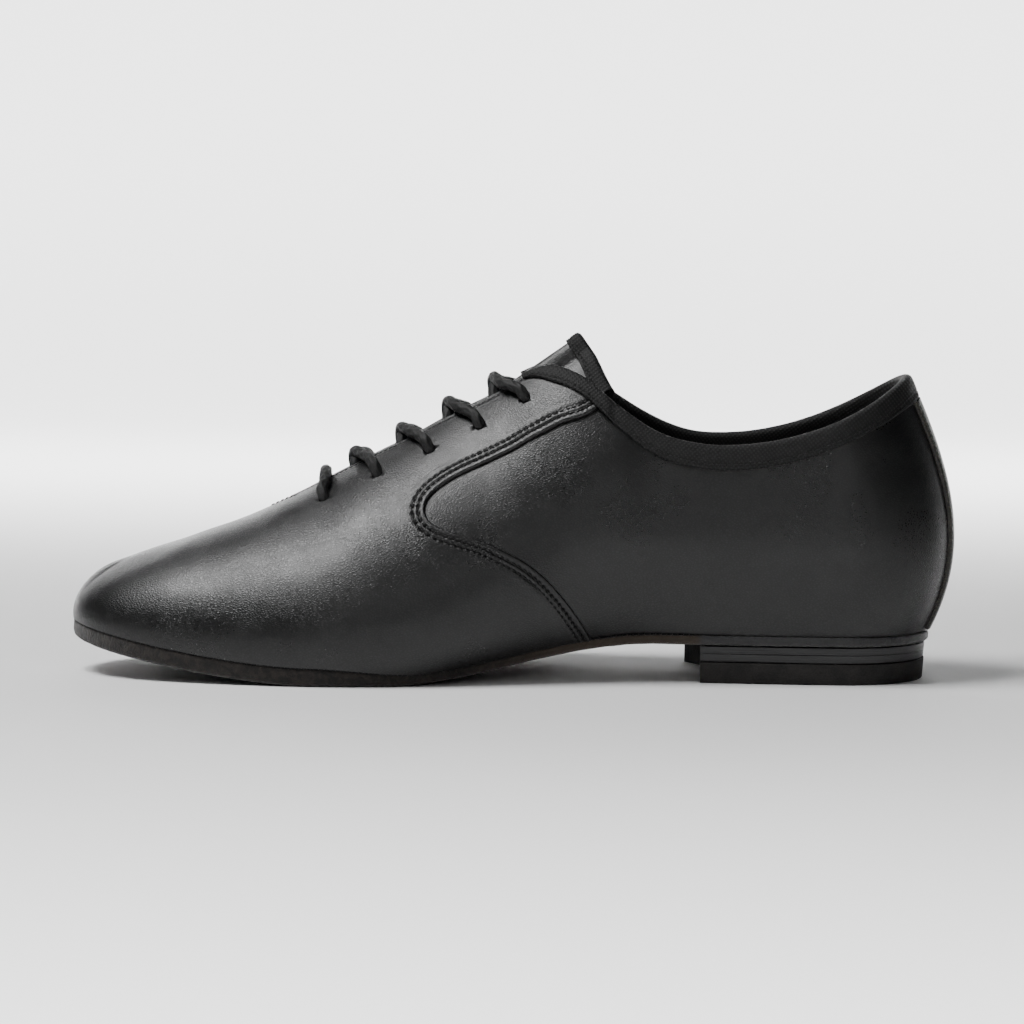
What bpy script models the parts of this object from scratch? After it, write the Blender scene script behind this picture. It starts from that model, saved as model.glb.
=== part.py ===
"""Jazz shoe for the right foot: soft leather upper, thin suede sole and a low stacked heel.

Metres, +Z up, toe towards -X. The inner side of the foot is at -Y and the outer side at +Y.
A station is a share of the length, 0 at the toe and 1 at the back of the heel.
"""
import math
from collections import namedtuple

import bmesh
import bpy
import numpy as np

MM = 0.001

# Driving sizes
LENGTH = 275 * MM            # over everything, toe to back strap
BALL_WIDTH = 92 * MM         # sole width across the ball
SEAT_WIDTH = 58 * MM         # sole width at the heel
COLLAR_WIDTH = 57 * MM       # inside of the collar at its widest
INSTEP_HEIGHT = 86 * MM      # facing top above the outsole
BACK_HEIGHT = 79 * MM        # collar above the outsole at the back of the heel
TOE_SPRING = 11 * MM         # underside of the toe above the floor
TOE_SWING = 4 * MM           # toe tip towards the inner side
HEEL_AXIS = -1.5 * MM        # centre line of the heel across the shoe
WALL = 1.8 * MM              # leather and lining of the quarters
OVERLAP = 0.9 * MM           # step of the front piece over the quarters
GAP = 0.3 * MM               # clearance between pieces that touch

# Sole and heel
FOREPART_SOLE = 5.4 * MM
WAIST_SOLE = 3.0 * MM
SOLE_LIP = 0.8 * MM          # sole beyond the upper's lower edge
SOLE_ROUND = 1.0 * MM        # rounding of the sole's lower edge
TOP_LIFT = 6.4 * MM
HEEL_LIFT = 4.7 * MM
HEEL_TAPER = 0.9 * MM        # each side, from the sole down to the floor
BREAST_HOLLOW = 8 * MM
INSOLE = 2.5 * MM

# Upper details
BINDING_DROP = 6.5 * MM
BINDING_SKIN = 0.9 * MM
BINDING_SLACK = 0.45 * MM    # binding clear of the edge that it covers
STRAP_HALF = 11 * MM
STRAP_SKIN = 1.1 * MM
TONGUE_SKIN = 1.8 * MM
TONGUE_SEWN = 0.4 * MM       # the tongue's front end below the vamp that it is sewn to
TONGUE_SLACK = 2.0 * MM      # room for the hidden lace between facings and tongue
TONGUE_BAND = 4.6 * MM
LACE = 3.6 * MM
EYELETS = 5
EYELET_INSET_LOW = 14.8 * MM     # lowest hole centre from the facing edge
EYELET_INSET_HIGH = 9.3 * MM     # highest hole centre from the facing edge
TONGUE_RISE = 12.5 * MM      # end of the tongue above the facing corner
TONGUE_CROWN = 5.1 * MM      # arch of the free end between the facings

# Stations along the shoe
TOE_START = 0.006            # lower edge of the upper at the toe
SOLE_END = 0.9665
TOE_CAP = 0.12               # length of the round toe
SEAT_CAP = 0.105             # length of the round heel
COLLAR_CAP = 0.10
TOP_END = 0.9415             # collar at the back of the heel
CROWN = 0.095                # where the toe's curve meets the ridge
THROAT = 0.245
TREAD_FRONT = 0.27
TREAD_BACK = 0.36
SHANK_END = 0.66
BREAST = 0.706               # front of the heel on the inner side
BREAST_SLANT = 0.006         # how much further forward it is on the outer side
THIN_FROM = 0.27
THIN_TO = 0.41
SWING_END = 0.35
BINDING_START = 0.508
FIRST_EYELET = 0.2944
LAST_EYELET = 0.5036
TONGUE_START = 0.205
TONGUE_FREE = 0.50           # from here the tongue stands free of the facings
TONGUE_END = 0.563
FACING_CORNER = 0.538

HEEL_HEIGHT = TOP_LIFT + HEEL_LIFT + 2 * GAP

# Lower half of the upper: sole half widths as shares of a width, then how far and at what
# angle from upright the wall leaves the sole, as shares of the ball width and in degrees.
Base = namedtuple("Base", "station inner outer width inner_reach inner_flare outer_reach outer_flare")
BASE_ROWS = [
    Base(0.000, 0.325, 0.325, BALL_WIDTH, 0.112, 9, 0.112, 9),
    Base(0.100, 0.365, 0.365, BALL_WIDTH, 0.170, 12, 0.170, 12),
    Base(0.170, 0.425, 0.430, BALL_WIDTH, 0.200, 17, 0.200, 17),
    Base(0.250, 0.475, 0.475, BALL_WIDTH, 0.240, 20, 0.240, 20),
    Base(0.310, 0.485, 0.505, BALL_WIDTH, 0.270, 23, 0.260, 22),
    Base(0.380, 0.450, 0.520, BALL_WIDTH, 0.300, 31, 0.280, 22),
    Base(0.460, 0.360, 0.490, BALL_WIDTH, 0.320, 44, 0.300, 23),
    Base(0.540, 0.285, 0.435, BALL_WIDTH, 0.320, 46, 0.300, 25),
    Base(0.620, 0.265, 0.375, BALL_WIDTH, 0.300, 38, 0.290, 25),
    Base(0.700, 0.450, 0.525, SEAT_WIDTH, 0.280, 24, 0.280, 21),
    Base(0.780, 0.485, 0.510, SEAT_WIDTH, 0.275, 16, 0.275, 16),
    Base(0.860, 0.500, 0.500, SEAT_WIDTH, 0.280, 16, 0.280, 16),
    Base(SOLE_END, 0.500, 0.500, SEAT_WIDTH, 0.325, 27, 0.325, 27),
]

# Upper half: half opening as a share of the collar width, height over the outsole as a
# share of a height, how much lower the inner side is, then how the wall arrives there.
Top = namedtuple("Top", "station half height inner_drop measure reach lean")
TOP_ROWS = [
    Top(CROWN, 0.000, 0.299, 0.000, INSTEP_HEIGHT, 0.125, 0),
    Top(0.136, 0.000, 0.369, 0.000, INSTEP_HEIGHT, 0.195, 0),
    Top(0.190, 0.000, 0.453, 0.000, INSTEP_HEIGHT, 0.240, 0),
    Top(THROAT, 0.000, 0.549, 0.000, INSTEP_HEIGHT, 0.240, 0),
    Top(0.300, 0.052, 0.648, 0.000, INSTEP_HEIGHT, 0.220, 14),
    Top(0.360, 0.080, 0.764, 0.000, INSTEP_HEIGHT, 0.225, 19),
    Top(0.420, 0.097, 0.862, 0.000, INSTEP_HEIGHT, 0.230, 22),
    Top(0.480, 0.119, 0.927, 0.000, INSTEP_HEIGHT, 0.235, 25),
    Top(0.510, 0.145, 0.968, 0.000, INSTEP_HEIGHT, 0.235, 29),
    Top(0.538, 0.190, 0.982, 0.004, INSTEP_HEIGHT, 0.230, 36),
    Top(0.570, 0.280, 0.951, 0.022, INSTEP_HEIGHT, 0.225, 47),
    Top(0.611, 0.395, 0.841, 0.030, INSTEP_HEIGHT, 0.215, 61),
    Top(0.650, 0.450, 0.820, 0.040, BACK_HEIGHT, 0.220, 72),
    Top(0.700, 0.485, 0.748, 0.021, BACK_HEIGHT, 0.235, 79),
    Top(0.750, 0.500, 0.738, 0.015, BACK_HEIGHT, 0.250, 82),
    Top(0.800, 0.500, 0.762, 0.011, BACK_HEIGHT, 0.260, 82),
    Top(0.860, 0.490, 0.830, 0.007, BACK_HEIGHT, 0.275, 79),
    Top(0.910, 0.480, 0.920, 0.002, BACK_HEIGHT, 0.300, 73),
    Top(TOP_END, 0.480, 0.990, 0.000, BACK_HEIGHT, 0.345, 66),
]

# Edge of the front piece from the sole up: share of the wall's height and station.
Seam = namedtuple("Seam", "rise station")
SEAM_ROWS = [
    Seam(0.000, 0.588),
    Seam(0.137, 0.567),
    Seam(0.233, 0.542),
    Seam(0.330, 0.503),
    Seam(0.420, 0.459),
    Seam(0.490, 0.400),
    Seam(0.540, 0.382),
    Seam(0.590, 0.378),
    Seam(0.640, 0.380),
    Seam(0.683, 0.393),
    Seam(0.700, 0.412),
    Seam(0.710, 0.448),
    Seam(0.717, 0.492),
    Seam(0.737, 0.534),
    Seam(0.877, 0.581),
    Seam(1.000, 0.592),
]

# Mesh steps
VAMP_STEPS = 11
FACING_STEPS = 8
CORNER_STEPS = 4
QUARTER_STEPS = 16
LOWER_STEPS = 9
EDGE_STEPS = 4
EDGE_RISE = 0.78             # the rows stand closer from here to the top edge
FRONT_RIM = 0.01
TUBE_SIDES = 6


def clear_scene():
    for thing in list(bpy.data.objects):
        bpy.data.objects.remove(thing, do_unlink=True)


def smooth(value):
    value = np.clip(value, 0.0, 1.0)
    return value * value * (3 - 2 * value)


def through(places, values, at):
    """Smooth curve through the values at the places."""
    places = np.asarray(places, dtype=float)
    values = np.asarray(values, dtype=float)
    at = np.clip(at, places[0], places[-1])
    slopes = np.gradient(values, places)
    low = np.clip(np.searchsorted(places, at) - 1, 0, len(places) - 2)
    span = places[low + 1] - places[low]
    part = (at - places[low]) / span
    rest = 1 - part
    ends = values[low] * rest * rest * (1 + 2 * part) + values[low + 1] * part * part * (3 - 2 * part)
    return ends + span * part * rest * (slopes[low] * rest - slopes[low + 1] * part)


def column_of(rows, name, scale=None):
    values = [getattr(row, name) for row in rows]
    if scale is not None:
        values = [value * getattr(row, scale) for value, row in zip(values, rows)]
    return values


def read(rows, name, at, scale=None):
    return through(column_of(rows, "station"), column_of(rows, name, scale), at)


def along(station):
    return (station - 0.5) * LENGTH


def centre(station):
    """Middle line of the shoe, which swings to the inner side at the toe."""
    return HEEL_AXIS - TOE_SWING * np.clip(1 - station / SWING_END, 0, 1) ** 2


def round_end(distance, length):
    """Grows from 0 to 1 along a quarter circle."""
    part = np.clip(distance / length, 0, 1)
    return np.sqrt(np.clip(1 - (1 - part) ** 2, 0, 1))


def underside(station):
    """Lowest line of the outsole: toe spring, flat tread, arch and heel seat."""
    spring = np.clip((TREAD_FRONT - station) / TREAD_FRONT, 0, 1) ** 1.5
    lift = smooth((station - TREAD_BACK) / (SHANK_END - TREAD_BACK))
    return TOE_SPRING * spring + HEEL_HEIGHT * lift


def sole_thickness(station):
    thin = smooth((station - THIN_FROM) / (THIN_TO - THIN_FROM))
    return FOREPART_SOLE + (WAIST_SOLE - FOREPART_SOLE) * thin


def seat(station):
    """Top of the outsole."""
    return underside(station) + sole_thickness(station)


def base_station(turn):
    return TOE_START + (SOLE_END - TOE_START) * (1 - np.cos(math.pi * turn)) / 2


def top_station(turn):
    run = (base_station(turn) - TOE_START) / (SOLE_END - TOE_START)
    return base_station(turn) + (CROWN - TOE_START) * (1 - run) ** 3 + (TOP_END - SOLE_END) * run ** 5


def turn_at_base(station):
    return np.arccos(1 - 2 * (station - TOE_START) / (SOLE_END - TOE_START)) / math.pi


def turn_at_top(station):
    turns = np.linspace(0, 1, 2001)
    return np.interp(station, top_station(turns), turns)


def outline(turn, side):
    """Lower edge of the upper in plan, side -1 inner and 1 outer."""
    station = base_station(turn)
    inner = read(BASE_ROWS, "inner", station, "width")
    outer = read(BASE_ROWS, "outer", station, "width")
    half = np.where(side < 0, inner, outer)
    half = half * round_end(station - TOE_START, TOE_CAP) * round_end(SOLE_END - station, SEAT_CAP)
    return along(station), centre(station) + side * half


def outward(turn, side):
    """Plan direction square to the lower edge."""
    step = 0.002
    low = np.clip(turn - step, 0, 1)
    high = np.clip(turn + step, 0, 1)
    x_low, y_low = outline(low, side)
    x_high, y_high = outline(high, side)
    ends = (turn <= 0) | (turn >= 1)
    run_x = np.where(ends, 0, x_high - x_low)
    run_y = np.where(ends, side * np.where(turn <= 0, 1, -1), y_high - y_low)
    size = np.hypot(run_x, run_y)
    return side * -run_y / size, side * run_x / size


def half_opening(station):
    gap = read([row for row in TOP_ROWS if row.station >= THROAT], "half", station)
    gap = np.where(station < THROAT, 0, gap)
    return gap * COLLAR_WIDTH * round_end(TOP_END - station, COLLAR_CAP)


def top_height(station, side=1):
    height = read(TOP_ROWS, "height", station, "measure")
    drop = read(TOP_ROWS, "inner_drop", station, "measure")
    return seat(station) + height - np.where(side < 0, drop, 0)


def ridge_slope(station):
    step = 0.004
    rise = top_height(station + step) - top_height(station - step)
    return rise / (2 * step * LENGTH)


def wall_point(turn, rise, side):
    """Outer face of the quarters, turn 0 toe to 1 heel and rise 0 sole to 1 top edge."""
    low = base_station(turn)
    high = top_station(turn)
    out_x, out_y = outward(turn, side)
    flare = np.radians(np.where(side < 0, read(BASE_ROWS, "inner_flare", low),
                                read(BASE_ROWS, "outer_flare", low)))
    reach = BALL_WIDTH * np.where(side < 0, read(BASE_ROWS, "inner_reach", low),
                                  read(BASE_ROWS, "outer_reach", low))
    foot_x, foot_y = outline(turn, side)
    foot = np.stack([foot_x, foot_y, seat(low) + GAP], -1)
    leave = np.stack([out_x * np.sin(flare), out_y * np.sin(flare), np.cos(flare)], -1)
    head = np.stack([along(high), centre(high) + side * half_opening(high), top_height(high, side)], -1)
    lean = np.radians(np.maximum(read(TOP_ROWS, "lean", high), 0))
    pull = BALL_WIDTH * read(TOP_ROWS, "reach", high)
    closed = 1 - smooth((high - THROAT) / 0.3)
    fall = -np.sin(lean) + np.cos(lean) * out_x * ridge_slope(high) * closed
    arrive = np.stack([out_x * np.cos(lean), out_y * np.cos(lean), fall], -1)
    near = foot + reach[..., None] * leave
    far = head + pull[..., None] * arrive
    part = rise[..., None]
    rest = 1 - part
    return (foot * rest ** 3 + near * 3 * rest ** 2 * part
            + far * 3 * rest * part ** 2 + head * part ** 3)


def wall_normal(turn, rise, side):
    step = 0.004
    turn = np.clip(turn, 2 * step, 1 - step / 4)
    rise = np.clip(rise, 0, 1 - 3 * step)
    by_turn = wall_point(np.minimum(turn + step, 1), rise, side) - wall_point(turn - step, rise, side)
    by_rise = wall_point(turn, rise + step, side) - wall_point(turn, np.maximum(rise - step, 0), side)
    normal = np.cross(by_rise, by_turn) * side[..., None]
    normal = normal / np.linalg.norm(normal, axis=-1, keepdims=True)
    slope = np.arctan(ridge_slope(top_station(turn)))
    upright = np.stack([-np.sin(slope), 0 * slope, np.cos(slope)], -1)
    fan = (smooth((rise - 0.8) / 0.2) * (1 - smooth(turn / 0.1)))[..., None]
    normal = normal * (1 - fan) + upright * fan
    return normal / np.linalg.norm(normal, axis=-1, keepdims=True)


def offset_point(turn, rise, side, depth):
    """Point at a depth outside the quarters' face, negative inside."""
    turn, rise, side, depth = np.broadcast_arrays(*[np.asarray(v, dtype=float)
                                                    for v in (turn, rise, side, depth)])
    normal = wall_normal(turn, rise, side)
    middle = (turn <= 0) | (turn >= 1) | ((rise >= 1) & (top_station(turn) <= THROAT))
    normal[..., 1] = np.where(middle, 0, normal[..., 1])
    normal = normal / np.linalg.norm(normal, axis=-1, keepdims=True)
    return wall_point(turn, rise, side) + depth[..., None] * normal


def rise_below_edge(turn, side, distance):
    """Rise at a distance below the top edge, measured along the wall."""
    rises = np.linspace(0, 1, 81)
    points = wall_point(np.full(81, turn), rises, np.full(81, float(side)))
    steps = np.linalg.norm(np.diff(points, axis=0), axis=1)
    below = np.concatenate([[0], np.cumsum(steps[::-1])])
    return float(np.interp(distance, below, rises[::-1]))


SEAM_TURN = float(turn_at_base(SEAM_ROWS[-1].station))
SEAM_TOP = float(top_station(SEAM_TURN))
THROAT_TURN = float(turn_at_top(THROAT))
BINDING_TURN = float(turn_at_top(BINDING_START))


def seam_turn(rise):
    """Turn of the front piece's edge at each rise."""
    station = through(column_of(SEAM_ROWS, "rise"), column_of(SEAM_ROWS, "station"), rise)
    return turn_at_base(station)


def make_material(name, colour, roughness, metallic=0.0):
    material = bpy.data.materials.new(name)
    material.use_nodes = True
    shader = material.node_tree.nodes["Principled BSDF"]
    shader.inputs["Base Color"].default_value = (*colour, 1)
    shader.inputs["Roughness"].default_value = roughness
    shader.inputs["Metallic"].default_value = metallic
    return material


def make_object(name, mesh_builder, material, sharp=50):
    mesh = bpy.data.meshes.new(name)
    bmesh.ops.triangulate(mesh_builder, faces=mesh_builder.faces[:])
    bmesh.ops.recalc_face_normals(mesh_builder, faces=mesh_builder.faces[:])
    mesh_builder.to_mesh(mesh)
    mesh_builder.free()
    mesh.materials.append(material)
    mesh.shade_smooth()
    mesh.set_sharp_from_angle(angle=math.radians(sharp))
    thing = bpy.data.objects.new(name, mesh)
    bpy.context.collection.objects.link(thing)
    return thing


def new_vertices(mesh, points):
    return [mesh.verts.new(tuple(point)) for point in points]


def quad(mesh, corners):
    kept = []
    for corner in corners:
        if corner not in kept:
            kept.append(corner)
    if len(kept) > 2:
        mesh.faces.new(kept)


def bridge_rings(mesh, first, second, closed=True):
    count = len(first)
    for index in range(count if closed else count - 1):
        after = (index + 1) % count
        quad(mesh, [first[index], first[after], second[after], second[index]])


def ladder(mesh, ring, half):
    """Closes a ring whose first point is the toe and whose point at half is the heel."""
    count = len(ring)
    for index in range(half):
        quad(mesh, [ring[index], ring[index + 1],
                    ring[(count - index - 1) % count], ring[(count - index) % count]])


def loft(mesh, sections, cap=None):
    """Skins the sections and closes both ends, with the cap's faces where it is given."""
    rings = [new_vertices(mesh, section) for section in sections]
    for first, second in zip(rings, rings[1:]):
        bridge_rings(mesh, first, second)
    for ring in (rings[0], rings[-1]):
        for face in cap or [range(len(ring))]:
            mesh.faces.new([ring[place] for place in face])


def slab(mesh, outer, inner):
    """Closed sheet between two grids of points with the same rows and columns."""
    top = [new_vertices(mesh, row) for row in outer]
    bottom = [new_vertices(mesh, row) for row in inner]
    for grid in (top, bottom):
        for first, second in zip(grid, grid[1:]):
            bridge_rings(mesh, first, second, closed=False)
    for row in (0, -1):
        bridge_rings(mesh, top[row], bottom[row], closed=False)
    for place in (0, -1):
        bridge_rings(mesh, [row[place] for row in top], [row[place] for row in bottom], closed=False)


def shell_turns(last_turn, last_steps):
    vamp = np.linspace(0, THROAT_TURN, VAMP_STEPS + 1)
    facing = np.linspace(THROAT_TURN, BINDING_TURN, FACING_STEPS + 1)[1:]
    corner = np.linspace(BINDING_TURN, SEAM_TURN, CORNER_STEPS + 1)[1:]
    behind = np.linspace(SEAM_TURN, last_turn, last_steps + 1)[1:]
    return np.concatenate([vamp, facing, corner, behind])


def wall_shell(turns, rim, outer_depth, inner_depth):
    """Closed shell of the upper between two depths, open at the throat, collar and sole.

    The rim is how far, as a share of the wall's height, its free edges stay back.
    """
    mesh = bmesh.new()
    shares = np.concatenate([np.linspace(0, EDGE_RISE, LOWER_STEPS + 1),
                             np.linspace(EDGE_RISE, 1, EDGE_STEPS + 1)[1:]])
    rows = len(shares) - 1
    turn_grid, share_grid = np.meshgrid(turns, shares, indexing="ij")
    head = np.where(turn_grid <= THROAT_TURN, 1.0, 1.0 - rim)
    rise_grid = rim + (head - rim) * share_grid
    skins = {}
    for side in (-1, 1):
        for skin, depth in enumerate((outer_depth, inner_depth)):
            grid = offset_point(turn_grid, rise_grid, side, depth)
            if rim == 0:
                grid[:, 0, 2] = seat(grid[:, 0, 0] / LENGTH + 0.5) + GAP
            skins[side, skin] = grid
    made = {}

    def vertex(side, skin, column, row):
        on_ridge = row == rows and column <= VAMP_STEPS
        shared = turns[column] in (0, 1) or on_ridge
        key = (0 if shared else side, skin, column, row)
        if key not in made:
            point = skins[side, skin][column, row].copy()
            if on_ridge:
                point[1] = centre(point[0] / LENGTH + 0.5)
            made[key] = mesh.verts.new(tuple(point))
        return made[key]

    last = len(turns) - 1
    for side in (-1, 1):
        for column in range(last):
            for row in range(rows):
                for skin in (0, 1):
                    quad(mesh, [vertex(side, skin, column, row), vertex(side, skin, column + 1, row),
                                vertex(side, skin, column + 1, row + 1), vertex(side, skin, column, row + 1)])
        for row in (0, rows):
            for column in range(VAMP_STEPS if row else 0, last):
                quad(mesh, [vertex(side, 0, column, row), vertex(side, 0, column + 1, row),
                            vertex(side, 1, column + 1, row), vertex(side, 1, column, row)])
        if turns[-1] < 1:
            for row in range(rows):
                quad(mesh, [vertex(side, 0, last, row), vertex(side, 0, last, row + 1),
                            vertex(side, 1, last, row + 1), vertex(side, 1, last, row)])
    return mesh


def build_front_cutter(material):
    """Block in side view ahead of the front piece's edge, through both sides."""
    rises = np.linspace(0, 1, 61)
    line = wall_point(seam_turn(rises), rises, np.full(61, -1.0))
    low, high, ahead = -LENGTH * 0.1, LENGTH * 0.5, -LENGTH * 0.6
    outline_points = [(line[0, 0], low)] + [(x, z) for x, z in zip(line[:, 0], line[:, 2])]
    outline_points += [(line[-1, 0], high), (ahead, high), (ahead, low)]
    mesh = bmesh.new()
    loft(mesh, [[(x, y, z) for x, z in outline_points] for y in (-BALL_WIDTH, BALL_WIDTH)])
    return make_object("front_cutter", mesh, material)


def add_boolean(thing, operation, other):
    change = thing.modifiers.new(operation.lower(), "BOOLEAN")
    change.operation = operation
    change.solver = "EXACT"
    change.object = other
    other.hide_render = True
    other.display_type = "WIRE"


def build_upper(material):
    """Hollow upper: quarters all round and the raised front piece ahead of the seam."""
    quarters = wall_shell(shell_turns(1.0, QUARTER_STEPS), 0.0, 0.0, -WALL)
    upper = make_object("upper", quarters, material, sharp=40)
    behind = SEAM_TURN + 0.03
    front = wall_shell(shell_turns(behind, 1), FRONT_RIM, OVERLAP, -WALL / 2)
    front_piece = make_object("front_piece_form", front, material)
    add_boolean(front_piece, "INTERSECT", build_front_cutter(material))
    add_boolean(upper, "UNION", front_piece)
    return upper


def sole_ring(turns, spread, height_of):
    """Ring round the sole, spread beyond the upper's lower edge."""
    points = []
    for side, order in ((-1, turns), (1, turns[-2:0:-1])):
        x, y = outline(order, np.full(len(order), float(side)))
        out_x, out_y = outward(order, np.full(len(order), float(side)))
        x = x + spread * out_x
        y = y + spread * out_y
        points += list(np.stack([x, y, height_of(np.clip(x / LENGTH + 0.5, 0, 1))], -1))
    return points


def build_outsole(material):
    mesh = bmesh.new()
    turns = np.linspace(0, 1, 41)
    layers = [
        (SOLE_LIP - SOLE_ROUND * 0.5, seat),
        (SOLE_LIP, lambda station: seat(station) - SOLE_ROUND * 0.5),
        (SOLE_LIP, lambda station: underside(station) + SOLE_ROUND * 1.1),
        (SOLE_LIP - SOLE_ROUND, lambda station: underside(station) + SOLE_ROUND * 0.3),
        (SOLE_LIP - SOLE_ROUND * 4, underside),
    ]
    rings = [new_vertices(mesh, sole_ring(turns, spread, height)) for spread, height in layers]
    for first, second in zip(rings, rings[1:]):
        bridge_rings(mesh, first, second)
    half = len(turns) - 1
    ladder(mesh, rings[0], half)
    ladder(mesh, rings[-1], half)
    return make_object("outsole", mesh, material, sharp=40)


def build_insole(material):
    mesh = bmesh.new()
    turns = np.linspace(0, 1, 33)
    inset = -(WALL * 1.35 + 2 * GAP)
    rings = []
    for spread, rise in ((inset, GAP), (inset, GAP + INSOLE * 0.7), (inset - INSOLE * 0.3, GAP + INSOLE)):
        ring = sole_ring(turns, spread, lambda station, up=rise: seat(station) + up)
        rings.append(new_vertices(mesh, ring))
    for first, second in zip(rings, rings[1:]):
        bridge_rings(mesh, first, second)
    ladder(mesh, rings[0], len(turns) - 1)
    ladder(mesh, rings[-1], len(turns) - 1)
    return make_object("insole", mesh, material)


def heel_outline(inset):
    """Heel in plan: round at the back, hollow at the breast."""
    sides = []
    for side, front in ((-1.0, BREAST), (1.0, BREAST - BREAST_SLANT)):
        turns = np.linspace(float(turn_at_base(front)), 1, 15)
        edge = np.stack(outline(turns, np.full(15, side)), -1)
        out = np.stack(outward(turns, np.full(15, side)), -1)
        sides.append(edge - inset * out)
    inner = sides[0]
    outer = sides[1][-2::-1]
    first, last = outer[-1], inner[0]
    breast = []
    for part in np.linspace(0, 1, 10)[1:-1]:
        point = first + (last - first) * part
        hollow = BREAST_HOLLOW * (1 - (2 * part - 1) ** 2)
        breast.append(point + np.array([hollow, 0]))
    return list(inner) + list(outer) + breast


def build_heel_piece(name, material, bottom, top):
    """One layer of the heel between two heights; the sides run in towards the floor."""
    mesh = bmesh.new()
    sections = []
    for height in (bottom, top):
        inset = HEEL_TAPER * (1 - height / HEEL_HEIGHT)
        sections.append([(x, y, height) for x, y in heel_outline(inset)])
    loft(mesh, sections)
    return make_object(name, mesh, material, sharp=30)


def overlay_height(station):
    """Thickness of the front piece at the top edge, run out just behind the seam."""
    return OVERLAP * (1 - smooth((station - SEAM_TOP - 0.006) / 0.012))


def folded_strip_cap():
    """Faces that close the collar strip's end: outer leg, crown, inner leg."""
    return [(0, 1, 11, 12), (1, 2, 10, 11), (2, 3, 10), (3, 9, 10), (3, 4, 9), (4, 5, 8, 9), (5, 6, 7, 8)]


def folded_band_cap():
    """Faces that close the tongue band's end: upper leg, fold, lower leg."""
    return [(0, 1, 8, 9), (1, 2, 8), (2, 3, 7, 8), (3, 4, 7), (4, 5, 6, 7)]


def binding_section(turn, side):
    """Strip folded over the top edge: outer leg, fold and inner leg."""
    station = float(top_station(np.float64(turn)))
    rises = [1.0] + [rise_below_edge(turn, side, BINDING_DROP * share) for share in (0.5, 1)]
    over = float(overlay_height(station))
    outside = [over + BINDING_SLACK + BINDING_SKIN, over + BINDING_SLACK]
    inside = [-(WALL + BINDING_SLACK), -(WALL + BINDING_SLACK + BINDING_SKIN)]
    edge = offset_point(turn, [1.0, 0.97], side, 0.0)
    up = (edge[0] - edge[1]) / np.linalg.norm(edge[0] - edge[1])
    legs = []
    for depth, lift in ((outside[0], BINDING_SLACK + BINDING_SKIN), (outside[1], BINDING_SLACK),
                        (inside[0], BINDING_SLACK), (inside[1], BINDING_SLACK + BINDING_SKIN)):
        leg = offset_point(turn, rises, side, depth)
        leg[0] += up * lift
        legs.append(leg)
    crown = (legs[0][0] + legs[3][0]) / 2 + up * BINDING_SKIN * 0.4
    return (list(legs[0][::-1]) + [crown] + list(legs[3]) + list(legs[2][::-1]) + list(legs[1]))


def build_collar_binding(material):
    mesh = bmesh.new()
    turns = shell_turns(1.0, QUARTER_STEPS)
    turns = turns[turns > BINDING_TURN - 0.001]
    sections = [binding_section(turn, -1) for turn in turns]
    sections += [binding_section(turn, 1) for turn in turns[-2::-1]]
    loft(mesh, sections, folded_strip_cap())
    return make_object("collar_binding", mesh, material)


def build_back_strap(material):
    mesh = bmesh.new()
    rises = np.linspace(0.02, rise_below_edge(1.0, 1, BINDING_DROP + GAP + BINDING_SKIN), 12)
    turns = []
    for rise in rises:
        probe = np.linspace(0.86, 1, 141)
        points = wall_point(probe, np.full(141, rise), np.full(141, 1.0))
        reach = np.concatenate([np.cumsum(np.linalg.norm(np.diff(points, axis=0), axis=1)[::-1])[::-1], [0]])
        turns.append(np.interp(STRAP_HALF, reach[::-1], probe[::-1]))
    grids = []
    for depth in (GAP + STRAP_SKIN, GAP):
        rows = []
        for rise, edge in zip(rises, turns):
            places = np.linspace(edge, 1, 5)
            inner = offset_point(places, rise, -1, depth)
            outer = offset_point(places[-2::-1], rise, 1, depth)
            rows.append(np.concatenate([inner, outer]))
        grids.append(rows)
    slab(mesh, grids[0], grids[1])
    return make_object("back_strap", mesh, material, sharp=40)


def facing_frame(station):
    """Edge of the facing beside the throat: half opening, lean and slope there."""
    lean = math.radians(max(float(read(TOP_ROWS, "lean", station)), 0))
    return float(half_opening(np.float64(station))), lean, math.atan(float(ridge_slope(station)))


def across(station, distance, depth):
    """Point at a signed distance from the ridge, measured across the instep."""
    half, lean, slope = facing_frame(station)
    side = -1.0 if distance < 0 else 1.0
    turn = float(turn_at_top(station))
    if abs(distance) > half:
        rise = rise_below_edge(turn, side, abs(distance) - half)
        return offset_point(turn, rise, side, depth)
    share = abs(distance) / half if half > 0 else 0.0
    edge = wall_point(np.float64(turn), np.float64(1.0), np.float64(1.0))
    bow = half * math.tan(lean) / 2 * (1 - share * share)
    tilt = lean * share
    normal = np.array([-math.sin(slope) * math.cos(tilt), side * math.sin(tilt),
                       math.cos(slope) * math.cos(tilt)])
    middle = float(centre(np.float64(station)))
    point = np.array([edge[0], middle + distance, edge[2] + bow])
    return point + depth * normal


Tongue = namedtuple("Tongue", "station half")
TONGUE_ROWS = [
    Tongue(TONGUE_START, 0.24),
    Tongue(0.26, 0.34),
    Tongue(0.36, 0.42),
    Tongue(TONGUE_FREE, 0.47),
]
TONGUE_TILT = 35              # degrees, of the free end over the instep
TONGUE_PINCH = 0.26           # share by which the free end narrows
DIP_START = 0.40              # station from which the tongue dips to pass inside the binding
BAND_WRAP = 1.1 * MM          # band over the tongue's end and faces


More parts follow.
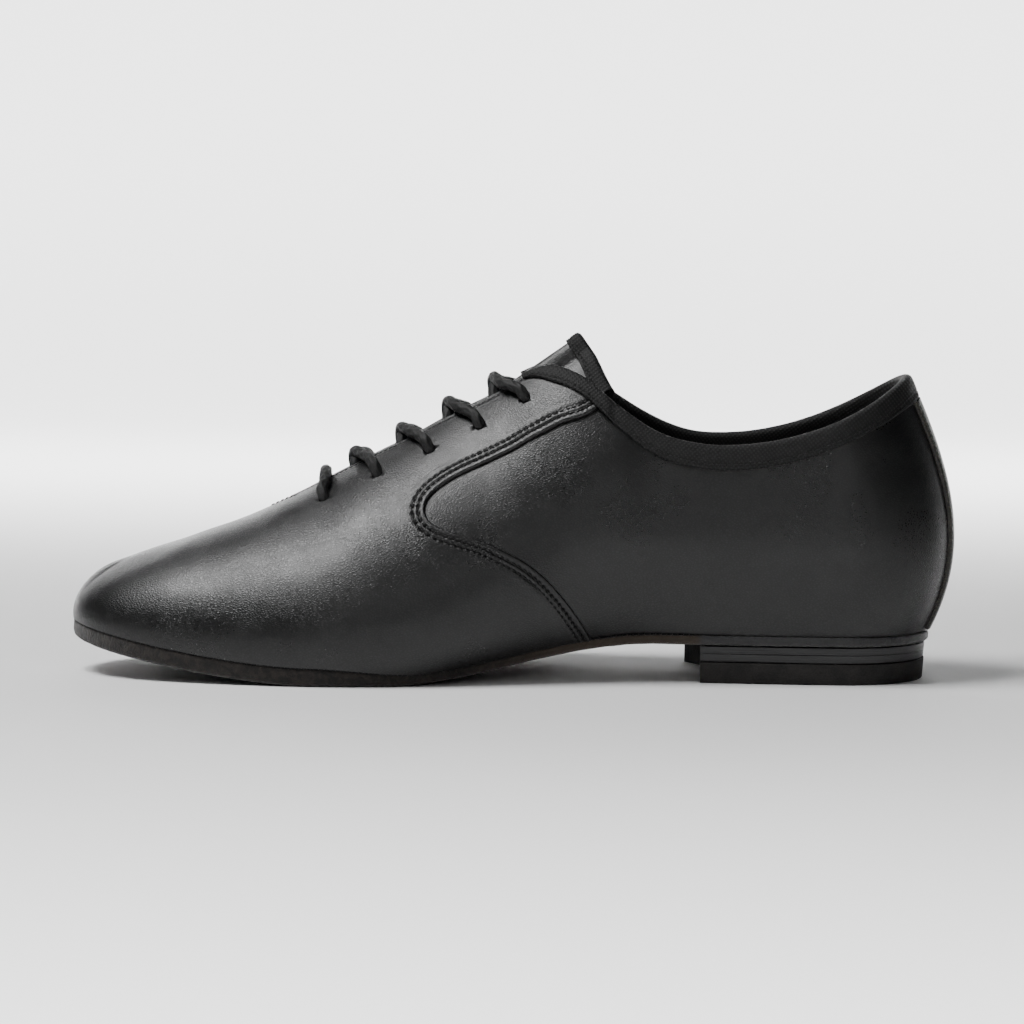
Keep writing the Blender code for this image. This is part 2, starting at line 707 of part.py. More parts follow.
def tongue_depth(station):
    """Top face of the tongue below the upper's face: it dips to pass inside the binding."""
    dip = (BINDING_SKIN + BINDING_SLACK + 2 * GAP) * float(smooth((station - DIP_START) / (TONGUE_FREE - DIP_START)))
    sewn = float(smooth((station - TONGUE_START) / (FIRST_EYELET - TONGUE_START)))
    return -(WALL + TONGUE_SEWN + (TONGUE_SLACK - TONGUE_SEWN) * sewn + dip)


def tongue_direction():
    tilt = math.radians(TONGUE_TILT)
    return np.array([math.cos(tilt), 0, math.sin(tilt)])


def free_tongue(start, part, reach=0.0):
    """Row of the free end, part of the way from its root row to the tongue's end."""
    start = np.array(start)
    end = np.array([along(TONGUE_END), 0, float(top_height(FACING_CORNER)) + TONGUE_RISE])
    lengths = ((end - start) @ tongue_direction()) * part + reach
    row = start + tongue_direction() * lengths[:, None]
    middle = start[:, 1].mean()
    row[:, 1] = middle + (row[:, 1] - middle) * (1 - TONGUE_PINCH * part ** 0.8)
    return row


def tongue_row(station, skin, steps=12):
    """Row across the tongue; between the facings it arches up towards the free end."""
    half = float(read(TONGUE_ROWS, "half", station)) * COLLAR_WIDTH
    depth = tongue_depth(station) - skin
    opening = max(float(half_opening(np.float64(station))), LACE)
    crown = TONGUE_CROWN * float(smooth((station - DIP_START) / (TONGUE_FREE - DIP_START)))
    row = []
    for share in np.linspace(-1, 1, steps + 1):
        distance = half * math.copysign(abs(share) ** 1.7, share)
        arch = max(1 - (distance / opening) ** 2, 0) ** 2
        row.append(across(station, distance, depth + crown * arch))
    return row


def tongue_grid(skin, free_steps=4):
    """Rows of points from the front of the tongue to its end, skin below its top face."""
    rows = [tongue_row(station, skin) for station in np.linspace(TONGUE_START, TONGUE_FREE, 13)]
    root = rows[-1]
    for part in np.linspace(0, 1, free_steps + 1)[1:]:
        rows.append(list(free_tongue(root, part)))
    return rows


def build_tongue(material):
    mesh = bmesh.new()
    slab(mesh, tongue_grid(0.0), tongue_grid(TONGUE_SKIN))
    return make_object("tongue", mesh, material, sharp=40)


def build_tongue_binding(material):
    """Band folded over the end of the tongue."""
    mesh = bmesh.new()
    root = np.array(tongue_row(TONGUE_FREE, 0.0))
    end = np.array([along(TONGUE_END), 0, float(top_height(FACING_CORNER)) + TONGUE_RISE])
    begin = 1 - TONGUE_BAND / float(((end - root) @ tongue_direction()).mean())
    above, below = -GAP, TONGUE_SKIN + GAP
    profile = [
        (begin, 0.0, above - BAND_WRAP * 0.6),
        (1.0, 0.0, above - BAND_WRAP),
        (1.0, GAP + BAND_WRAP * 0.7, above - BAND_WRAP * 0.3),
        (1.0, GAP + BAND_WRAP * 0.7, below + BAND_WRAP * 0.3),
        (1.0, 0.0, below + BAND_WRAP),
        (begin, 0.0, below + BAND_WRAP * 0.6),
        (begin, 0.0, below),
        (1.0, GAP, below),
        (1.0, GAP, above),
        (begin, 0.0, above),
    ]
    lines = [free_tongue(tongue_row(TONGUE_FREE, depth), part, reach) for part, reach, depth in profile]
    loft(mesh, list(zip(*lines)), folded_band_cap())
    return make_object("tongue_binding", mesh, material, sharp=40)


def eyelet_station(index):
    return FIRST_EYELET + (LAST_EYELET - FIRST_EYELET) * index / (EYELETS - 1)


def eyelet_inset(index):
    return EYELET_INSET_LOW + (EYELET_INSET_HIGH - EYELET_INSET_LOW) * index / (EYELETS - 1)


def tube_points(route, radius):
    """Rings of a round cord along a route."""
    route = np.array(route)
    rings = []
    for index, point in enumerate(route):
        before = route[max(index - 1, 0)]
        after = route[min(index + 1, len(route) - 1)]
        run = (after - before) / np.linalg.norm(after - before)
        side = np.cross(run, [0, 0, 1])
        side = side / np.linalg.norm(side)
        up = np.cross(side, run)
        ring = []
        for step in range(TUBE_SIDES):
            angle = 2 * math.pi * (step + 0.5) / TUBE_SIDES
            ring.append(point + radius * (math.cos(angle) * side + math.sin(angle) * up))
        rings.append(ring)
    return rings


def smooth_route(points, steps=5):
    points = np.array(points)
    places = np.concatenate([[0], np.cumsum(np.linalg.norm(np.diff(points, axis=0), axis=1))])
    at = np.linspace(0, places[-1], steps * (len(points) - 1) + 1)
    return np.stack([through(places, points[:, axis], at) for axis in range(3)], -1)


def strand_route(index, side):
    """From an eyelet, over the facing edge and the ridge, to the gap on the other side."""
    lift = OVERLAP + LACE / 2 + 2 * GAP
    here = eyelet_station(index)
    inset = eyelet_inset(index)
    if index == 0:
        ahead = here - 0.004
        edge = float(half_opening(np.float64(ahead)))
        near = [across(here, side * (inset + edge), lift), across(ahead, side * edge * 1.6, lift),
                across(ahead, 0, lift)]
        return near
    pitch = eyelet_station(index) - eyelet_station(index - 1)
    edge = float(half_opening(np.float64(here - pitch * 0.3)))
    return [
        across(here, side * (inset + edge), lift),
        across(here - pitch * 0.18, side * (inset * 0.55 + edge), lift),
        across(here - pitch * 0.36, side * (edge + LACE * 0.3), lift + LACE * 0.15),
        across(here - pitch * 0.5, 0, lift),
        across(here - pitch * 0.6, -side * max(edge - LACE, LACE * 0.2), lift * 0.8),
    ]


def build_crossings(material):
    """One joined solid for each crossing, and a straight bar at the lowest eyelets."""
    made = []
    for index in range(EYELETS):
        name = f"lace_crossing_{index + 1}"
        parts = []
        if index == 0:
            inner = strand_route(0, -1)
            outer = strand_route(0, 1)
            routes = [inner + outer[-2::-1]]
        else:
            routes = [strand_route(index, -1), strand_route(index, 1)]
        for number, route in enumerate(routes):
            mesh = bmesh.new()
            loft(mesh, tube_points(smooth_route(route, 2), LACE / 2))
            parts.append(make_object(name if number == 0 else name + "_cutter", mesh, material))
        if len(parts) == 2:
            add_boolean(parts[0], "UNION", parts[1])
        made.append(parts[0])
    return made


def build_shoe():
    clear_scene()
    leather = make_material("black_leather", (0.012, 0.012, 0.013), 0.42)
    lining = make_material("black_lining", (0.02, 0.02, 0.02), 0.75)
    binding = make_material("black_binding", (0.010, 0.010, 0.010), 0.7)
    strap = make_material("strap_leather", (0.016, 0.015, 0.012), 0.5)
    suede = make_material("black_suede", (0.014, 0.012, 0.011), 0.95)
    painted = make_material("painted_heel", (0.02, 0.02, 0.021), 0.35)
    rubber = make_material("black_rubber", (0.01, 0.01, 0.01), 0.8)
    cord = make_material("black_cord", (0.01, 0.01, 0.01), 0.85)
    build_outsole(suede)
    build_upper(leather)
    build_insole(lining)
    build_heel_piece("top_lift", rubber, 0.0, TOP_LIFT)
    build_heel_piece("heel_lift", painted, TOP_LIFT + GAP, TOP_LIFT + GAP + HEEL_LIFT)
    build_tongue(leather)
    build_tongue_binding(binding)
    build_collar_binding(binding)
    build_back_strap(strap)
    build_crossings(cord)


build_shoe()
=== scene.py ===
"""Looks of the jazz shoe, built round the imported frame: metres, +Z up, toe towards -X."""
import math
from collections import namedtuple

import bmesh
import bpy
import mathutils
import numpy as np
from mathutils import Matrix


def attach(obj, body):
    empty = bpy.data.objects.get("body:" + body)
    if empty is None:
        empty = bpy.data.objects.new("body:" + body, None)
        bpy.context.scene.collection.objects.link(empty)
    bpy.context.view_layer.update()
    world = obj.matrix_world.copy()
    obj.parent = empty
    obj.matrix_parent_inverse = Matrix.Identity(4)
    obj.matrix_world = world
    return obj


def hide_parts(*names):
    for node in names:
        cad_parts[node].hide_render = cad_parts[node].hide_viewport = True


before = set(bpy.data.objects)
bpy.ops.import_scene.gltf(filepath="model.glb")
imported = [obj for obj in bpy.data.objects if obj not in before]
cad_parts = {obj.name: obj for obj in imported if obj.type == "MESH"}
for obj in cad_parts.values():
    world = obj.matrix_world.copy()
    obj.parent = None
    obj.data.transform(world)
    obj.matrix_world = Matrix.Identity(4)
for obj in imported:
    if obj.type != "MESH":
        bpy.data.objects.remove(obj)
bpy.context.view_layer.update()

MM = 0.001

# Driving sizes
LENGTH = 275 * MM  # over everything, toe to back strap
BALL_WIDTH = 92 * MM  # sole width across the ball
SEAT_WIDTH = 58 * MM  # sole width at the heel
COLLAR_WIDTH = 57 * MM  # inside of the collar at its widest
INSTEP_HEIGHT = 86 * MM  # facing top above the outsole
BACK_HEIGHT = 79 * MM  # collar above the outsole at the back of the heel
TOE_SPRING = 11 * MM  # underside of the toe above the floor
TOE_SWING = 4 * MM  # toe tip towards the inner side
HEEL_AXIS = -1.5 * MM  # centre line of the heel across the shoe
WALL = 1.8 * MM  # leather and lining of the quarters
OVERLAP = 0.9 * MM  # step of the front piece over the quarters
GAP = 0.3 * MM  # clearance between pieces that touch

# Sole and heel
FOREPART_SOLE = 5.4 * MM
WAIST_SOLE = 3.0 * MM
SOLE_LIP = 0.8 * MM  # sole beyond the upper's lower edge
TOP_LIFT = 6.4 * MM
HEEL_LIFT = 4.7 * MM
HEEL_TAPER = 0.9 * MM  # each side, from the sole down to the floor
BREAST_HOLLOW = 8 * MM
INSOLE = 2.5 * MM

# Upper details
BINDING_DROP = 6.5 * MM
BINDING_SKIN = 0.9 * MM
BINDING_SLACK = 0.45 * MM  # binding clear of the edge that it covers
STRAP_HALF = 11 * MM
TONGUE_SKIN = 1.8 * MM
TONGUE_SEWN = 0.4 * MM  # the tongue's front end below the vamp that it is sewn to
TONGUE_SLACK = 2.0 * MM  # room for the hidden lace between facings and tongue
TONGUE_BAND = 4.6 * MM
LACE = 3.6 * MM
EYELETS = 5
EYELET_INSET_LOW = 14.8 * MM  # lowest hole centre from the facing edge
EYELET_INSET_HIGH = 9.3 * MM  # highest hole centre from the facing edge
TONGUE_RISE = 12.5 * MM  # end of the tongue above the facing corner
TONGUE_CROWN = 5.1 * MM  # arch of the free end between the facings

# Stations along the shoe
TOE_START = 0.006  # lower edge of the upper at the toe
SOLE_END = 0.9665
TOE_CAP = 0.12  # length of the round toe
SEAT_CAP = 0.105  # length of the round heel
COLLAR_CAP = 0.10
TOP_END = 0.9415  # collar at the back of the heel
CROWN = 0.095  # where the toe's curve meets the ridge
THROAT = 0.245
TREAD_FRONT = 0.27
TREAD_BACK = 0.36
SHANK_END = 0.66
BREAST = 0.706  # front of the heel on the inner side
BREAST_SLANT = 0.006  # how much further forward it is on the outer side
THIN_FROM = 0.27
THIN_TO = 0.41
SWING_END = 0.35
BINDING_START = 0.508
FIRST_EYELET = 0.2944
LAST_EYELET = 0.5036
TONGUE_START = 0.205
TONGUE_FREE = 0.50  # from here the tongue stands free of the facings
TONGUE_END = 0.563
FACING_CORNER = 0.538

HEEL_HEIGHT = TOP_LIFT + HEEL_LIFT + 2 * GAP

# Lower half of the upper: sole half widths as shares of a width, then how far and at what
# angle from upright the wall leaves the sole, as shares of the ball width and in degrees.
Base = namedtuple("Base", "station inner outer width inner_reach inner_flare outer_reach outer_flare")
BASE_ROWS = [Base(*row) for row in (
    (0.000, 0.325, 0.325, BALL_WIDTH, 0.112, 9, 0.112, 9),
    (0.100, 0.365, 0.365, BALL_WIDTH, 0.170, 12, 0.170, 12),
    (0.170, 0.425, 0.430, BALL_WIDTH, 0.200, 17, 0.200, 17),
    (0.250, 0.475, 0.475, BALL_WIDTH, 0.240, 20, 0.240, 20),
    (0.310, 0.485, 0.505, BALL_WIDTH, 0.270, 23, 0.260, 22),
    (0.380, 0.450, 0.520, BALL_WIDTH, 0.300, 31, 0.280, 22),
    (0.460, 0.360, 0.490, BALL_WIDTH, 0.320, 44, 0.300, 23),
    (0.540, 0.285, 0.435, BALL_WIDTH, 0.320, 46, 0.300, 25),
    (0.620, 0.265, 0.375, BALL_WIDTH, 0.300, 38, 0.290, 25),
    (0.700, 0.450, 0.525, SEAT_WIDTH, 0.280, 24, 0.280, 21),
    (0.780, 0.485, 0.510, SEAT_WIDTH, 0.275, 16, 0.275, 16),
    (0.860, 0.500, 0.500, SEAT_WIDTH, 0.280, 16, 0.280, 16),
    (SOLE_END, 0.500, 0.500, SEAT_WIDTH, 0.325, 27, 0.325, 27),
)]

# Upper half: half opening as a share of the collar width, height over the outsole as a
# share of a height, how much lower the inner side is, then how the wall arrives there.
Top = namedtuple("Top", "station half height inner_drop measure reach lean")
TOP_ROWS = [Top(*row) for row in (
    (CROWN, 0.000, 0.299, 0.000, INSTEP_HEIGHT, 0.125, 0),
    (0.136, 0.000, 0.369, 0.000, INSTEP_HEIGHT, 0.195, 0),
    (0.190, 0.000, 0.453, 0.000, INSTEP_HEIGHT, 0.240, 0),
    (THROAT, 0.000, 0.549, 0.000, INSTEP_HEIGHT, 0.240, 0),
    (0.300, 0.052, 0.648, 0.000, INSTEP_HEIGHT, 0.220, 14),
    (0.360, 0.080, 0.764, 0.000, INSTEP_HEIGHT, 0.225, 19),
    (0.420, 0.097, 0.862, 0.000, INSTEP_HEIGHT, 0.230, 22),
    (0.480, 0.119, 0.927, 0.000, INSTEP_HEIGHT, 0.235, 25),
    (0.510, 0.145, 0.968, 0.000, INSTEP_HEIGHT, 0.235, 29),
    (0.538, 0.190, 0.982, 0.004, INSTEP_HEIGHT, 0.230, 36),
    (0.570, 0.280, 0.951, 0.022, INSTEP_HEIGHT, 0.225, 47),
    (0.611, 0.395, 0.841, 0.030, INSTEP_HEIGHT, 0.215, 61),
    (0.650, 0.450, 0.820, 0.040, BACK_HEIGHT, 0.220, 72),
    (0.700, 0.485, 0.748, 0.021, BACK_HEIGHT, 0.235, 79),
    (0.750, 0.500, 0.738, 0.015, BACK_HEIGHT, 0.250, 82),
    (0.800, 0.500, 0.762, 0.011, BACK_HEIGHT, 0.260, 82),
    (0.860, 0.490, 0.830, 0.007, BACK_HEIGHT, 0.275, 79),
    (0.910, 0.480, 0.920, 0.002, BACK_HEIGHT, 0.300, 73),
    (TOP_END, 0.480, 0.990, 0.000, BACK_HEIGHT, 0.345, 66),
)]

# Edge of the front piece from the sole up: share of the wall's height and station.
Seam = namedtuple("Seam", "rise station")
SEAM_ROWS = [Seam(*row) for row in (
    (0.000, 0.588),
    (0.137, 0.567),
    (0.233, 0.542),
    (0.330, 0.503),
    (0.420, 0.459),
    (0.490, 0.400),
    (0.540, 0.382),
    (0.590, 0.378),
    (0.640, 0.380),
    (0.683, 0.393),
    (0.700, 0.412),
    (0.710, 0.448),
    (0.717, 0.492),
    (0.737, 0.534),
    (0.877, 0.581),
    (1.000, 0.592),
)]

def smooth(value):
    value = np.clip(value, 0.0, 1.0)
    return value * value * (3 - 2 * value)


def through(places, values, at):
    """Smooth curve through the values at the places."""
    places = np.asarray(places, dtype=float)
    values = np.asarray(values, dtype=float)
    at = np.clip(at, places[0], places[-1])
    slopes = np.gradient(values, places)
    low = np.clip(np.searchsorted(places, at) - 1, 0, len(places) - 2)
    span = places[low + 1] - places[low]
    part = (at - places[low]) / span
    rest = 1 - part
    ends = values[low] * rest * rest * (1 + 2 * part) + values[low + 1] * part * part * (3 - 2 * part)
    return ends + span * part * rest * (slopes[low] * rest - slopes[low + 1] * part)


def column_of(rows, name, scale=None):
    values = [getattr(row, name) for row in rows]
    if scale is not None:
        values = [value * getattr(row, scale) for value, row in zip(values, rows)]
    return values


def read(rows, name, at, scale=None):
    return through(column_of(rows, "station"), column_of(rows, name, scale), at)


def along(station):
    return (station - 0.5) * LENGTH


def centre(station):
    """Middle line of the shoe, which swings to the inner side at the toe."""
    return HEEL_AXIS - TOE_SWING * np.clip(1 - station / SWING_END, 0, 1) ** 2


def round_end(distance, length):
    """Grows from 0 to 1 along a quarter circle."""
    part = np.clip(distance / length, 0, 1)
    return np.sqrt(np.clip(1 - (1 - part) ** 2, 0, 1))


def underside(station):
    """Lowest line of the outsole: toe spring, flat tread, arch and heel seat."""
    spring = np.clip((TREAD_FRONT - station) / TREAD_FRONT, 0, 1) ** 1.5
    lift = smooth((station - TREAD_BACK) / (SHANK_END - TREAD_BACK))
    return TOE_SPRING * spring + HEEL_HEIGHT * lift


def sole_thickness(station):
    thin = smooth((station - THIN_FROM) / (THIN_TO - THIN_FROM))
    return FOREPART_SOLE + (WAIST_SOLE - FOREPART_SOLE) * thin


def seat(station):
    """Top of the outsole."""
    return underside(station) + sole_thickness(station)


def base_station(turn):
    return TOE_START + (SOLE_END - TOE_START) * (1 - np.cos(math.pi * turn)) / 2


def top_station(turn):
    run = (base_station(turn) - TOE_START) / (SOLE_END - TOE_START)
    return base_station(turn) + (CROWN - TOE_START) * (1 - run) ** 3 + (TOP_END - SOLE_END) * run ** 5


def turn_at_base(station):
    return np.arccos(1 - 2 * (station - TOE_START) / (SOLE_END - TOE_START)) / math.pi


def turn_at_top(station):
    turns = np.linspace(0, 1, 2001)
    return np.interp(station, top_station(turns), turns)


def outline(turn, side):
    """Lower edge of the upper in plan, side -1 inner and 1 outer."""
    station = base_station(turn)
    inner = read(BASE_ROWS, "inner", station, "width")
    outer = read(BASE_ROWS, "outer", station, "width")
    half = np.where(side < 0, inner, outer)
    half = half * round_end(station - TOE_START, TOE_CAP) * round_end(SOLE_END - station, SEAT_CAP)
    return along(station), centre(station) + side * half


def outward(turn, side):
    """Plan direction square to the lower edge."""
    step = 0.002
    low = np.clip(turn - step, 0, 1)
    high = np.clip(turn + step, 0, 1)
    x_low, y_low = outline(low, side)
    x_high, y_high = outline(high, side)
    ends = (turn <= 0) | (turn >= 1)
    run_x = np.where(ends, 0, x_high - x_low)
    run_y = np.where(ends, side * np.where(turn <= 0, 1, -1), y_high - y_low)
    size = np.hypot(run_x, run_y)
    return side * -run_y / size, side * run_x / size


def half_opening(station):
    gap = read([row for row in TOP_ROWS if row.station >= THROAT], "half", station)
    gap = np.where(station < THROAT, 0, gap)
    return gap * COLLAR_WIDTH * round_end(TOP_END - station, COLLAR_CAP)


def top_height(station, side=1):
    height = read(TOP_ROWS, "height", station, "measure")
    drop = read(TOP_ROWS, "inner_drop", station, "measure")
    return seat(station) + height - np.where(side < 0, drop, 0)


def ridge_slope(station):
    step = 0.004
    rise = top_height(station + step) - top_height(station - step)
    return rise / (2 * step * LENGTH)


def wall_point(turn, rise, side):
    """Outer face of the quarters, turn 0 toe to 1 heel and rise 0 sole to 1 top edge."""
    low = base_station(turn)
    high = top_station(turn)
    out_x, out_y = outward(turn, side)
    flare = np.radians(np.where(side < 0, read(BASE_ROWS, "inner_flare", low),
                                read(BASE_ROWS, "outer_flare", low)))
    reach = BALL_WIDTH * np.where(side < 0, read(BASE_ROWS, "inner_reach", low),
                                  read(BASE_ROWS, "outer_reach", low))
    foot_x, foot_y = outline(turn, side)
    foot = np.stack([foot_x, foot_y, seat(low) + GAP], -1)
    leave = np.stack([out_x * np.sin(flare), out_y * np.sin(flare), np.cos(flare)], -1)
    head = np.stack([along(high), centre(high) + side * half_opening(high), top_height(high, side)], -1)
    lean = np.radians(np.maximum(read(TOP_ROWS, "lean", high), 0))
    pull = BALL_WIDTH * read(TOP_ROWS, "reach", high)
    closed = 1 - smooth((high - THROAT) / 0.3)
    fall = -np.sin(lean) + np.cos(lean) * out_x * ridge_slope(high) * closed
    arrive = np.stack([out_x * np.cos(lean), out_y * np.cos(lean), fall], -1)
    near = foot + reach[..., None] * leave
    far = head + pull[..., None] * arrive
    part = rise[..., None]
    rest = 1 - part
    return (foot * rest ** 3 + near * 3 * rest ** 2 * part
            + far * 3 * rest * part ** 2 + head * part ** 3)


def wall_normal(turn, rise, side):
    step = 0.004
    turn = np.clip(turn, 2 * step, 1 - step / 4)
    rise = np.clip(rise, 0, 1 - 3 * step)
    by_turn = wall_point(np.minimum(turn + step, 1), rise, side) - wall_point(turn - step, rise, side)
    by_rise = wall_point(turn, rise + step, side) - wall_point(turn, np.maximum(rise - step, 0), side)
    normal = np.cross(by_rise, by_turn) * side[..., None]
    normal = normal / np.linalg.norm(normal, axis=-1, keepdims=True)
    slope = np.arctan(ridge_slope(top_station(turn)))
    upright = np.stack([-np.sin(slope), 0 * slope, np.cos(slope)], -1)
    fan = (smooth((rise - 0.8) / 0.2) * (1 - smooth(turn / 0.1)))[..., None]
    normal = normal * (1 - fan) + upright * fan
    return normal / np.linalg.norm(normal, axis=-1, keepdims=True)


def offset_point(turn, rise, side, depth):
    """Point at a depth outside the quarters' face, negative inside."""
    turn, rise, side, depth = np.broadcast_arrays(*[np.asarray(v, dtype=float)
                                                    for v in (turn, rise, side, depth)])
    normal = wall_normal(turn, rise, side)
    middle = (turn <= 0) | (turn >= 1) | ((rise >= 1) & (top_station(turn) <= THROAT))
    normal[..., 1] = np.where(middle, 0, normal[..., 1])
    normal = normal / np.linalg.norm(normal, axis=-1, keepdims=True)
    return wall_point(turn, rise, side) + depth[..., None] * normal


SEAM_TURN = float(turn_at_base(SEAM_ROWS[-1].station))
SEAM_TOP = float(top_station(SEAM_TURN))
THROAT_TURN = float(turn_at_top(THROAT))
BINDING_TURN = float(turn_at_top(BINDING_START))


def seam_turn(rise):
    """Turn of the front piece's edge at each rise."""
    station = through(column_of(SEAM_ROWS, "rise"), column_of(SEAM_ROWS, "station"), rise)
    return turn_at_base(station)


Tongue = namedtuple("Tongue", "station half")
TONGUE_ROWS = [Tongue(*row) for row in (
    (TONGUE_START, 0.24),
    (0.26, 0.34),
    (0.36, 0.42),
    (TONGUE_FREE, 0.47),
)]
TONGUE_TILT = 35  # degrees, of the free end over the instep
TONGUE_PINCH = 0.26  # share by which the free end narrows
DIP_START = 0.40  # station from which the tongue dips to pass inside the binding


def tongue_depth(station):
    """Top face of the tongue below the upper's face: it dips to pass inside the binding."""
    room = BINDING_SKIN + BINDING_SLACK + 2 * GAP
    dip = room * float(smooth((station - DIP_START) / (TONGUE_FREE - DIP_START)))
    sewn = float(smooth((station - TONGUE_START) / (FIRST_EYELET - TONGUE_START)))
    return -(WALL + TONGUE_SEWN + (TONGUE_SLACK - TONGUE_SEWN) * sewn + dip)


def tongue_direction():
    tilt = math.radians(TONGUE_TILT)
    return np.array([math.cos(tilt), 0, math.sin(tilt)])


def free_tongue(start, part, reach=0.0):
    """Row of the free end, part of the way from its root row to the tongue's end."""
    start = np.array(start)
    end = np.array([along(TONGUE_END), 0, float(top_height(FACING_CORNER)) + TONGUE_RISE])
    lengths = ((end - start) @ tongue_direction()) * part + reach
    row = start + tongue_direction() * lengths[:, None]
    middle = start[:, 1].mean()
    row[:, 1] = middle + (row[:, 1] - middle) * (1 - TONGUE_PINCH * part ** 0.8)
    return row


# Sizes that only the looks need
STITCH_PITCH = 2.0 * MM
STITCH_RADIUS = 0.24 * MM
STITCHED_AT = (2.1, 3.8)  # millimetres behind the front piece's edge
EDGE_STITCH = 1.5 * MM  # stitch row below the facing edge
EYELET_RADIUS = 1.75 * MM
PUNCH_HEIGHTS = (-5 * MM, 4 * MM)  # ends of the punch, from the quarters' face
FRONT_UNDER = -0.2 * MM  # inner face of the front piece, a little inside the quarters' face
TONGUE_DROOP = 2.6 * MM  # how far the corners of the tongue's end hang down
EDGE_HIDE = 5.0 * MM  # how far the front piece's shell stops short under its turned edge
SEAM_DIP = 0.50 * MM  # leather pulled in at the needle holes
SEAM_DIP_WIDTH = 0.34 * MM
THREAD_STAND = 0.10 * MM  # seam stitches over the leather
TOE_REACH = 20.0 * MM  # how far round the ridge's front end the skin is rounded
TOE_BLEND = 0.7  # share of that reach over which the rounding fades

# Line of the front piece's turned edge from the sole up to the collar binding.
Edge = namedtuple("Edge", "station rise")
EDGE_ROWS = [Edge(*row) for row in (
    (0.5850, 0.000),
    (0.5745, 0.075),
    (0.5527, 0.180),
    (0.5227, 0.270),
    (0.4880, 0.350),
    (0.4486, 0.424),
    (0.4111, 0.474),
    (0.3880, 0.514),
    (0.3775, 0.562),
    (0.3778, 0.610),
    (0.3866, 0.645),
    (0.4080, 0.675),
    (0.4436, 0.694),
    (0.4850, 0.706),
    (0.5302, 0.734),
    (0.5700, 0.820),
    (0.5850, 0.900),
)]
RISES = np.linspace(0, 1, 121)
SIDES = ((-1, "inner"), (1, "outer"))


# Meshes

WELD = 0.001 * MM
SHELL_WELD = 0.002 * MM
# Mesh columns up to the throat, to the binding, to the seam and behind it
QUARTER_COLUMNS = (56, 34, 12, 96)
FRONT_COLUMNS = (64, 44, 16, 0)


def add_mesh(name, vertices, faces, materials, slots=None, weld=WELD, sharp=None):
    mesh = bpy.data.meshes.new(name)
    mesh.from_pydata([tuple(v) for v in vertices], [], [tuple(f) for f in faces])
    for material in materials:
        mesh.materials.append(material)
    if slots is not None:
        mesh.polygons.foreach_set("material_index", np.asarray(slots, dtype=np.int32))
    work = bmesh.new()
    work.from_mesh(mesh)
    if weld:
        bmesh.ops.remove_doubles(work, verts=work.verts[:], dist=weld)
    bmesh.ops.recalc_face_normals(work, faces=work.faces[:])
    work.to_mesh(mesh)
    work.free()
    mesh.shade_smooth()
    if sharp is not None:
        mesh.set_sharp_from_angle(angle=math.radians(sharp))
    piece = bpy.data.objects.new(name, mesh)
    bpy.context.collection.objects.link(piece)
    return piece


def grid_faces(rows, columns, start=0, wrap_columns=False):
    index = start + np.arange(rows * columns).reshape(rows, columns)
    if wrap_columns:
        index = np.hstack([index, index[:, :1]])
    corners = [index[:-1, :-1], index[1:, :-1], index[1:, 1:], index[:-1, 1:]]
    return np.stack(corners, -1).reshape(-1, 4)


def ring_faces(rings, around):
    """Faces between rings of points, the first and the last ring closed."""
    faces = grid_faces(rings, around, 0, True).tolist()
    faces.append(list(range(around)))
    faces.append(list(range((rings - 1) * around, rings * around)))
    return faces


def open_skin(name, points, material):
    """Mesh through a grid of points."""
    faces = grid_faces(*points.shape[:2])
    return add_mesh(name, points.reshape(-1, 3), faces, [material])


def closed_skin(name, points, material, sharp=None):
    """Solid through rings of points, its ends closed."""
    faces = ring_faces(*points.shape[:2])
    return add_mesh(name, points.reshape(-1, 3), faces, [material], sharp=sharp)


def place(piece, material_slot, *nodes):
    """The piece rides on the shoe and stands for these nodes."""
    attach(piece, "root")
    if nodes:
        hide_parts(*nodes)
    return piece


# Paths on the upper's wall

def as_side(values, side):
    return np.full(np.shape(values), float(side))


def rises_below_edge(turns, side, distances):
    """Rise of each distance below the top edge, a row for each turn."""
    turn_grid, rise_grid = np.meshgrid(turns, RISES, indexing="ij")
    points = wall_point(turn_grid, rise_grid, as_side(turn_grid, side))
    steps = np.linalg.norm(np.diff(points, axis=1), axis=2)
    below = np.concatenate([np.cumsum(steps[:, ::-1], axis=1)[:, ::-1], np.zeros((len(turns), 1))], axis=1)
    rows = [np.interp(want, have[::-1], RISES[::-1]) for want, have in zip(distances, below)]
    return np.array(rows)


def edge_points(turns, side, distances, depths):
    """Points at distances below the top edge, negative above it, and depths outside the wall."""
    rises = rises_below_edge(turns, side, np.maximum(distances, 0))
    turn_grid = np.repeat(turns[:, None], distances.shape[1], axis=1)
    points = offset_point(turn_grid, rises, as_side(turn_grid, side), depths)
    edge = offset_point(turns, as_side(turns, 1.0), as_side(turns, side), 0.0)
    under = offset_point(turns, as_side(turns, 0.97), as_side(turns, side), 0.0)
    up = (edge - under) / np.linalg.norm(edge - under, axis=1, keepdims=True)
    return points + up[:, None, :] * np.maximum(-distances, 0)[..., None]


